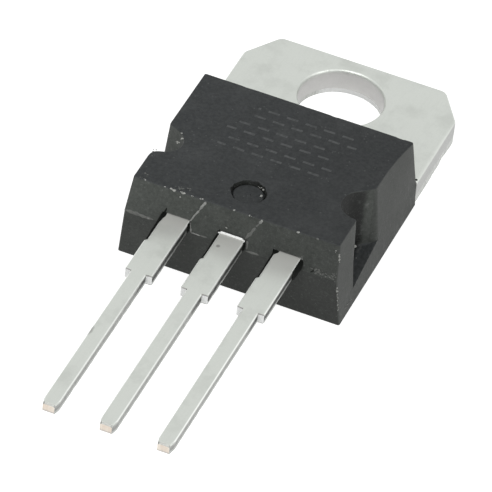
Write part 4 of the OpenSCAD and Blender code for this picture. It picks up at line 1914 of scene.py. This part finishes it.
@dataclass
class EdgeDamage:
    """Small breaks and crumbs along the edges of the case, where handling has chipped it."""

    case: MouldedCase
    seed: int = 7
    edge_chips: tuple[tuple[float, float, int, float], ...] = (
        (-4.17, 0.02, 2, 0.030), (-3.27, 0.03, 2, 0.045), (-2.93, 0.04, 3, 0.045), (-2.80, 0.03, 2, 0.050),
        (-2.50, 0.05, 4, 0.055), (-2.38, 0.03, 2, 0.050), (-2.12, 0.10, 5, 0.026), (-1.60, 0.04, 2, 0.030),
        (-0.10, 0.02, 2, 0.035), (0.62, 0.05, 3, 0.032), (2.83, 0.01, 2, 0.050),
    )
    face_chips: tuple[tuple[float, float, float, float, int, float], ...] = (
        (-4.01, -9.22, 0.02, 0.03, 2, 0.040), (-3.87, -9.58, 0.03, 0.05, 3, 0.050),
        (-3.95, -9.88, 0.05, 0.05, 3, 0.045), (0.50, -11.02, 0.03, 0.03, 2, 0.045),
        (0.34, -10.86, 0.06, 0.04, 3, 0.024),
    )
    nose_scuffs: tuple[tuple[float, float, float, float, float, int, float], ...] = (
        (4.05, 0.03, 2.84, 0.12, 0.05, 12, 0.040), (4.40, 0.03, 2.80, 0.18, 0.07, 18, 0.038),
        (4.72, 0.06, 2.92, 0.06, 0.10, 8, 0.040), (3.95, 0.04, 2.98, 0.16, 0.04, 10, 0.036),
        (4.70, 0.04, 2.72, 0.08, 0.05, 10, 0.036),
    )
    face_scuffs: tuple[tuple[float, float, float, float, int, float], ...] = (
        (-4.30, -12.55, 0.10, 0.12, 6, 0.035), (-2.65, -12.58, 0.10, 0.06, 7, 0.038),
        (-2.26, -12.50, 0.04, 0.05, 4, 0.036),
    )

    def build(self, name: str, clusters: Iterable[Cluster], finish: bpy.types.Material) -> None:
        """Build crumbs half sunk in the surface, none of them above the marked face's highest point.

        Args:
            name: Name of the piece.
            clusters: Where the crumbs lie.
            finish: The finish of broken epoxy.
        """
        rng = Random(self.seed)
        shell = Shell()
        for cluster in clusters:
            for _ in range(cluster.count):
                shift = Vector([rng.gauss(0, amount) for amount in cluster.spread])
                half = cluster.size * rng.uniform(0.6, 1.4)
                size = Vector((half, half * rng.uniform(0.5, 1.0), half * 0.6))
                shell.fleck(Vector(cluster.middle) + shift, size, rng)
        for vert in shell.mesh.verts:
            vert.co.z = min(vert.co.z, self.case.height + self.case.proud * 0.9)
        complete(shell.build(name), [finish], crease=60.0)

    def chips(self) -> Iterable[Cluster]:
        """The bright chips: on the front edge and the marked face, then down the front right corner."""
        top, front, flank = self.case.height, self.case.front_y, self.case.half_width
        for x, spread, count, size in self.edge_chips:
            yield Cluster((x, front(top) + 0.01, top - 0.03), (spread, 0.01, 0.012), count, size)
        yield Cluster((-2.53, front(top) - 0.045, 4.17), (0.01, 0.0, 0.035), 3, 0.030)
        yield Cluster((-0.28, front(3.46), 3.46), (0.01, 0.0, 0.02), 2, 0.032)
        for x, y, wide, long, count, size in self.face_chips:
            yield Cluster((x, y, top - 0.01), (wide, long, 0.005), count, size)
        yield Cluster((4.60, front(4.08) + 0.02, 4.08), (0.01, 0.0, 0.04), 4, 0.034)
        for z in (3.92, 3.80, 3.68, 3.56):
            yield Cluster((flank(z), -12.86, z), (0.0, 0.008, 0.03), 3, 0.034)
        yield Cluster((flank(3.07) - 0.02, -11.06, 3.07), (0.01, 0.01, 0.02), 7, 0.070)
        for z in (2.2, 1.9, 1.6, 1.3, 1.0):
            yield Cluster((flank(z) - 0.02, front(z) + 0.03, z), (0.004, 0.004, 0.11), 6, 0.022)
        yield Cluster((flank(0.47) - 0.01, -11.8, 0.47), (0.0, 0.30, 0.02), 9, 0.022)
        yield Cluster((0.58, -11.38, top - 0.01), (0.02, 0.03, 0.004), 3, 0.045)
        yield Cluster((flank(2.32), -10.86, 2.32), (0.0, 0.01, 0.01), 1, 0.030)

    def tab_flash(self) -> Iterable[Cluster]:
        """The scrap of flash on the tab beside the case, black with painted shade."""
        middle = (5.00, self.case.case_y + 0.04, self.case.tab_t + 0.02)
        yield Cluster(middle, (0.015, 0.015, 0.01), 6, 0.045)

    def scuffs(self) -> Iterable[Cluster]:
        """The dull grey scuffs: on the nose, low on the right flank, and along the marked face's edges."""
        top = self.case.height
        for x, inward, z, wide, high, count, size in self.nose_scuffs:
            yield Cluster((x, self.case.parting_y + inward, z), (wide, 0.01, high), count, size)
        yield Cluster((self.case.half_width(0.47) - 0.02, -11.8, 0.47), (0.0, 0.30, 0.02), 18, 0.030)
        yield Cluster((3.73, self.case.front_y(4.34), 4.34), (0.04, 0.01, 0.02), 4, 0.045)
        yield Cluster((-4.60, -11.15, top - 0.02), (0.04, 0.25, 0.015), 8, 0.030)
        for x, y, wide, long, count, size in self.face_scuffs:
            yield Cluster((x, y, top), (wide, long, 0.003), count, size)


@dataclass(frozen=True)
class Camera:
    """The photograph's viewpoint, found from the lead pitch, the hole and the case's edges."""

    place: tuple[float, float, float] = (56.398, -183.179, 156.451)
    forward: tuple[float, float, float] = (-0.23619, 0.72137, -0.65103)
    roll: float = 6.74
    focal_px: float = 5596.3
    image_px: float = 492.0
    sensor: float = 36.0

    def build(self) -> None:
        """Make the camera and let the scene use it."""
        data = bpy.data.cameras.new("photo_camera")
        data.sensor_width = self.sensor
        data.lens = self.focal_px * self.sensor / self.image_px
        data.clip_start = 0.01
        data.clip_end = 10.0
        camera = bpy.data.objects.new("photo_camera", data)
        ahead = Vector(self.forward).normalized()
        level = ahead.cross(Vector((0, 0, 1))).normalized()
        down = ahead.cross(level)
        roll = math.radians(self.roll)
        right = level * math.cos(roll) - down * math.sin(roll)
        up = -(level * math.sin(roll) + down * math.cos(roll))
        turn = Matrix((right, up, -ahead)).transposed().to_4x4()
        camera.matrix_world = Matrix.Translation(Vector(self.place) * MM) @ turn
        bpy.context.scene.collection.objects.link(camera)
        bpy.context.scene.camera = camera


@dataclass(frozen=True)
class Softbox:
    """A square area lamp that looks at the part."""

    name: str
    azimuth: float
    elevation: float
    power: float
    size: float = 0.30
    distance: float = 0.50

    def build(self, target: Vector) -> None:
        """Hang the lamp, where azimuth 0 is in front of the leads and +90 is on the +X side."""
        turn, tilt = math.radians(self.azimuth), math.radians(self.elevation)
        away = Vector((math.sin(turn) * math.cos(tilt), -math.cos(turn) * math.cos(tilt), math.sin(tilt)))
        data = bpy.data.lights.new(self.name, "AREA")
        data.shape = "SQUARE"
        data.size = self.size
        data.energy = self.power
        lamp = bpy.data.objects.new(self.name, data)
        lamp.location = target + away * self.distance
        lamp.rotation_euler = away.to_track_quat("Z", "Y").to_euler()
        bpy.context.scene.collection.objects.link(lamp)


@dataclass(frozen=True)
class Studio:
    """The pale floor, the soft lamps and the white surroundings."""

    ambient: float = 0.36
    floor_half: float = 0.6
    floor_z: float = -0.01
    aim: tuple[float, float, float] = (0.0, -10.0, 2.0)
    lamps: tuple[Softbox, ...] = (
        Softbox("front_lamp", azimuth=-10, elevation=42, power=1.20),
        Softbox("right_lamp", azimuth=75, elevation=28, power=0.60),
    )

    def build(self, effects: Effects) -> None:
        """Make the floor, the lamps and the world."""
        self._floor(PaperFloor("pale_floor").make(effects))
        for lamp in self.lamps:
            lamp.build(Vector(self.aim) * MM)
        world = bpy.data.worlds.new("white_room")
        world.use_nodes = True
        graph = Graph(world.node_tree)
        graph.tree.nodes.clear()
        light = graph.blend(seen_or_mirrored(graph), (self.ambient,) * 3, (1.0, 1.0, 1.0))
        sky = graph.field("ShaderNodeBackground", {"Color": light, "Strength": 1.0})
        graph.add("ShaderNodeOutputWorld", {"Surface": sky})
        bpy.context.scene.world = world

    def _floor(self, finish: bpy.types.Material) -> None:
        """Lay the floor just under the part."""
        mesh = bmesh.new()
        bmesh.ops.create_grid(mesh, x_segments=12, y_segments=12, size=self.floor_half)
        data = bpy.data.meshes.new("floor")
        mesh.to_mesh(data)
        mesh.free()
        data.materials.append(finish)
        floor = bpy.data.objects.new("floor", data)
        floor.location.z = self.floor_z * MM
        bpy.context.scene.collection.objects.link(floor)


@dataclass(frozen=True)
class InnerPieces:
    """The chip, its solder and the bond wires, which keep their CAD form."""

    chip: str = "regulator_chip"
    solder: str = "die_solder"
    wires: tuple[str, ...] = ("input_wire", "output_wire", "sense_wire", "ground_wire")

    def names(self) -> list[str]:
        """Every node in the group."""
        return [self.chip, self.solder, *self.wires]

    def dress(self, nodes: dict[str, bpy.types.Object], effects: Effects) -> None:
        """Give each node its finish."""
        wire = DrawnAluminium("drawn_aluminium").make(effects)
        finishes = {
            self.chip: PolishedSilicon("polished_silicon").make(effects),
            self.solder: DullSolder("dull_solder").make(effects),
            **{name: wire for name in self.wires},
        }
        for name, finish in finishes.items():
            data = nodes[name].data
            data.materials.clear()
            data.materials.append(finish)
            LOG.info("%s: %d faces", name, len(data.polygons))


def main() -> None:
    """Build every piece in order."""
    logging.basicConfig(level=logging.INFO, format="%(name)s %(message)s")
    noise.seed_set(NOISE_SEED)
    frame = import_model()
    nodes = frame["nodes"]
    bpy.context.scene.view_settings.view_transform = "Standard"
    Camera().build()
    effects = Effects()
    Studio().build(effects)

    epoxy = MouldedEpoxy("moulded_epoxy").make(effects)
    # The near-black finish: flash in painted shade, in the lead gaps and on the tab.
    black = BlackSkinAndShade("black_skin_and_gap_shade").make(effects)
    chipped, pale, grey = (
        BrokenEpoxy(name, dull, bright).make(effects)
        for name, dull, bright in (
            ("chipped_epoxy", (0.24, 0.245, 0.23), (0.55, 0.555, 0.53)),
            ("pale_flash", (0.20, 0.205, 0.195), (0.35, 0.355, 0.34)),
            ("grey_flash", (0.10, 0.104, 0.098), (0.15, 0.155, 0.145)),
        )
    )
    stamped = (TinPlate("tin_plate"), ShearedMetal("sheared_metal"), CutEnd("cut_end"))
    metals = [finish.make(effects) for finish in stamped]
    stamping_box, case_box = Extent.of("tab_and_ground_lead"), Extent.of("moulded_case")
    input_box, output_box = Extent.of("input_lead"), Extent.of("output_lead")
    form = LeadForm(parting_y=case_box.low.y, end_y=stamping_box.low.y, thick=input_box.size.z)
    stamping = Stamping(stamping_box, form, case_box.high.y)
    lead_xs = (input_box.middle.x, 0.0, output_box.middle.x)
    case = MouldedCase(case_box, stamping.tab_t, input_box.low.z, input_box.size.z, lead_xs)
    inner = InnerPieces()
    held = ["tab_and_ground_lead", "input_lead", "output_lead", *inner.names()]
    case.build([nodes[name] for name in held], [epoxy, black])
    stamping.build(metals)
    OuterLead(input_box, form).build("input_lead_strip", "input_lead", metals)
    OuterLead(output_box, form).build("output_lead_strip", "output_lead", metals)
    flash = MouldFlash(case, form)
    flash.ridges("pale_seams", flash.pale, pale)
    flash.ridges("grey_seams", flash.grey, grey)
    flash.ridges("black_seams", flash.black, black)
    flash.skins(black)
    damage = EdgeDamage(case)
    damage.build("edge_chips", damage.chips(), chipped)
    damage.build("edge_scuffs", damage.scuffs(), grey)
    damage.build("tab_flash", damage.tab_flash(), black)
    inner.dress(nodes, effects)


if __name__ == "__main__":
    main()
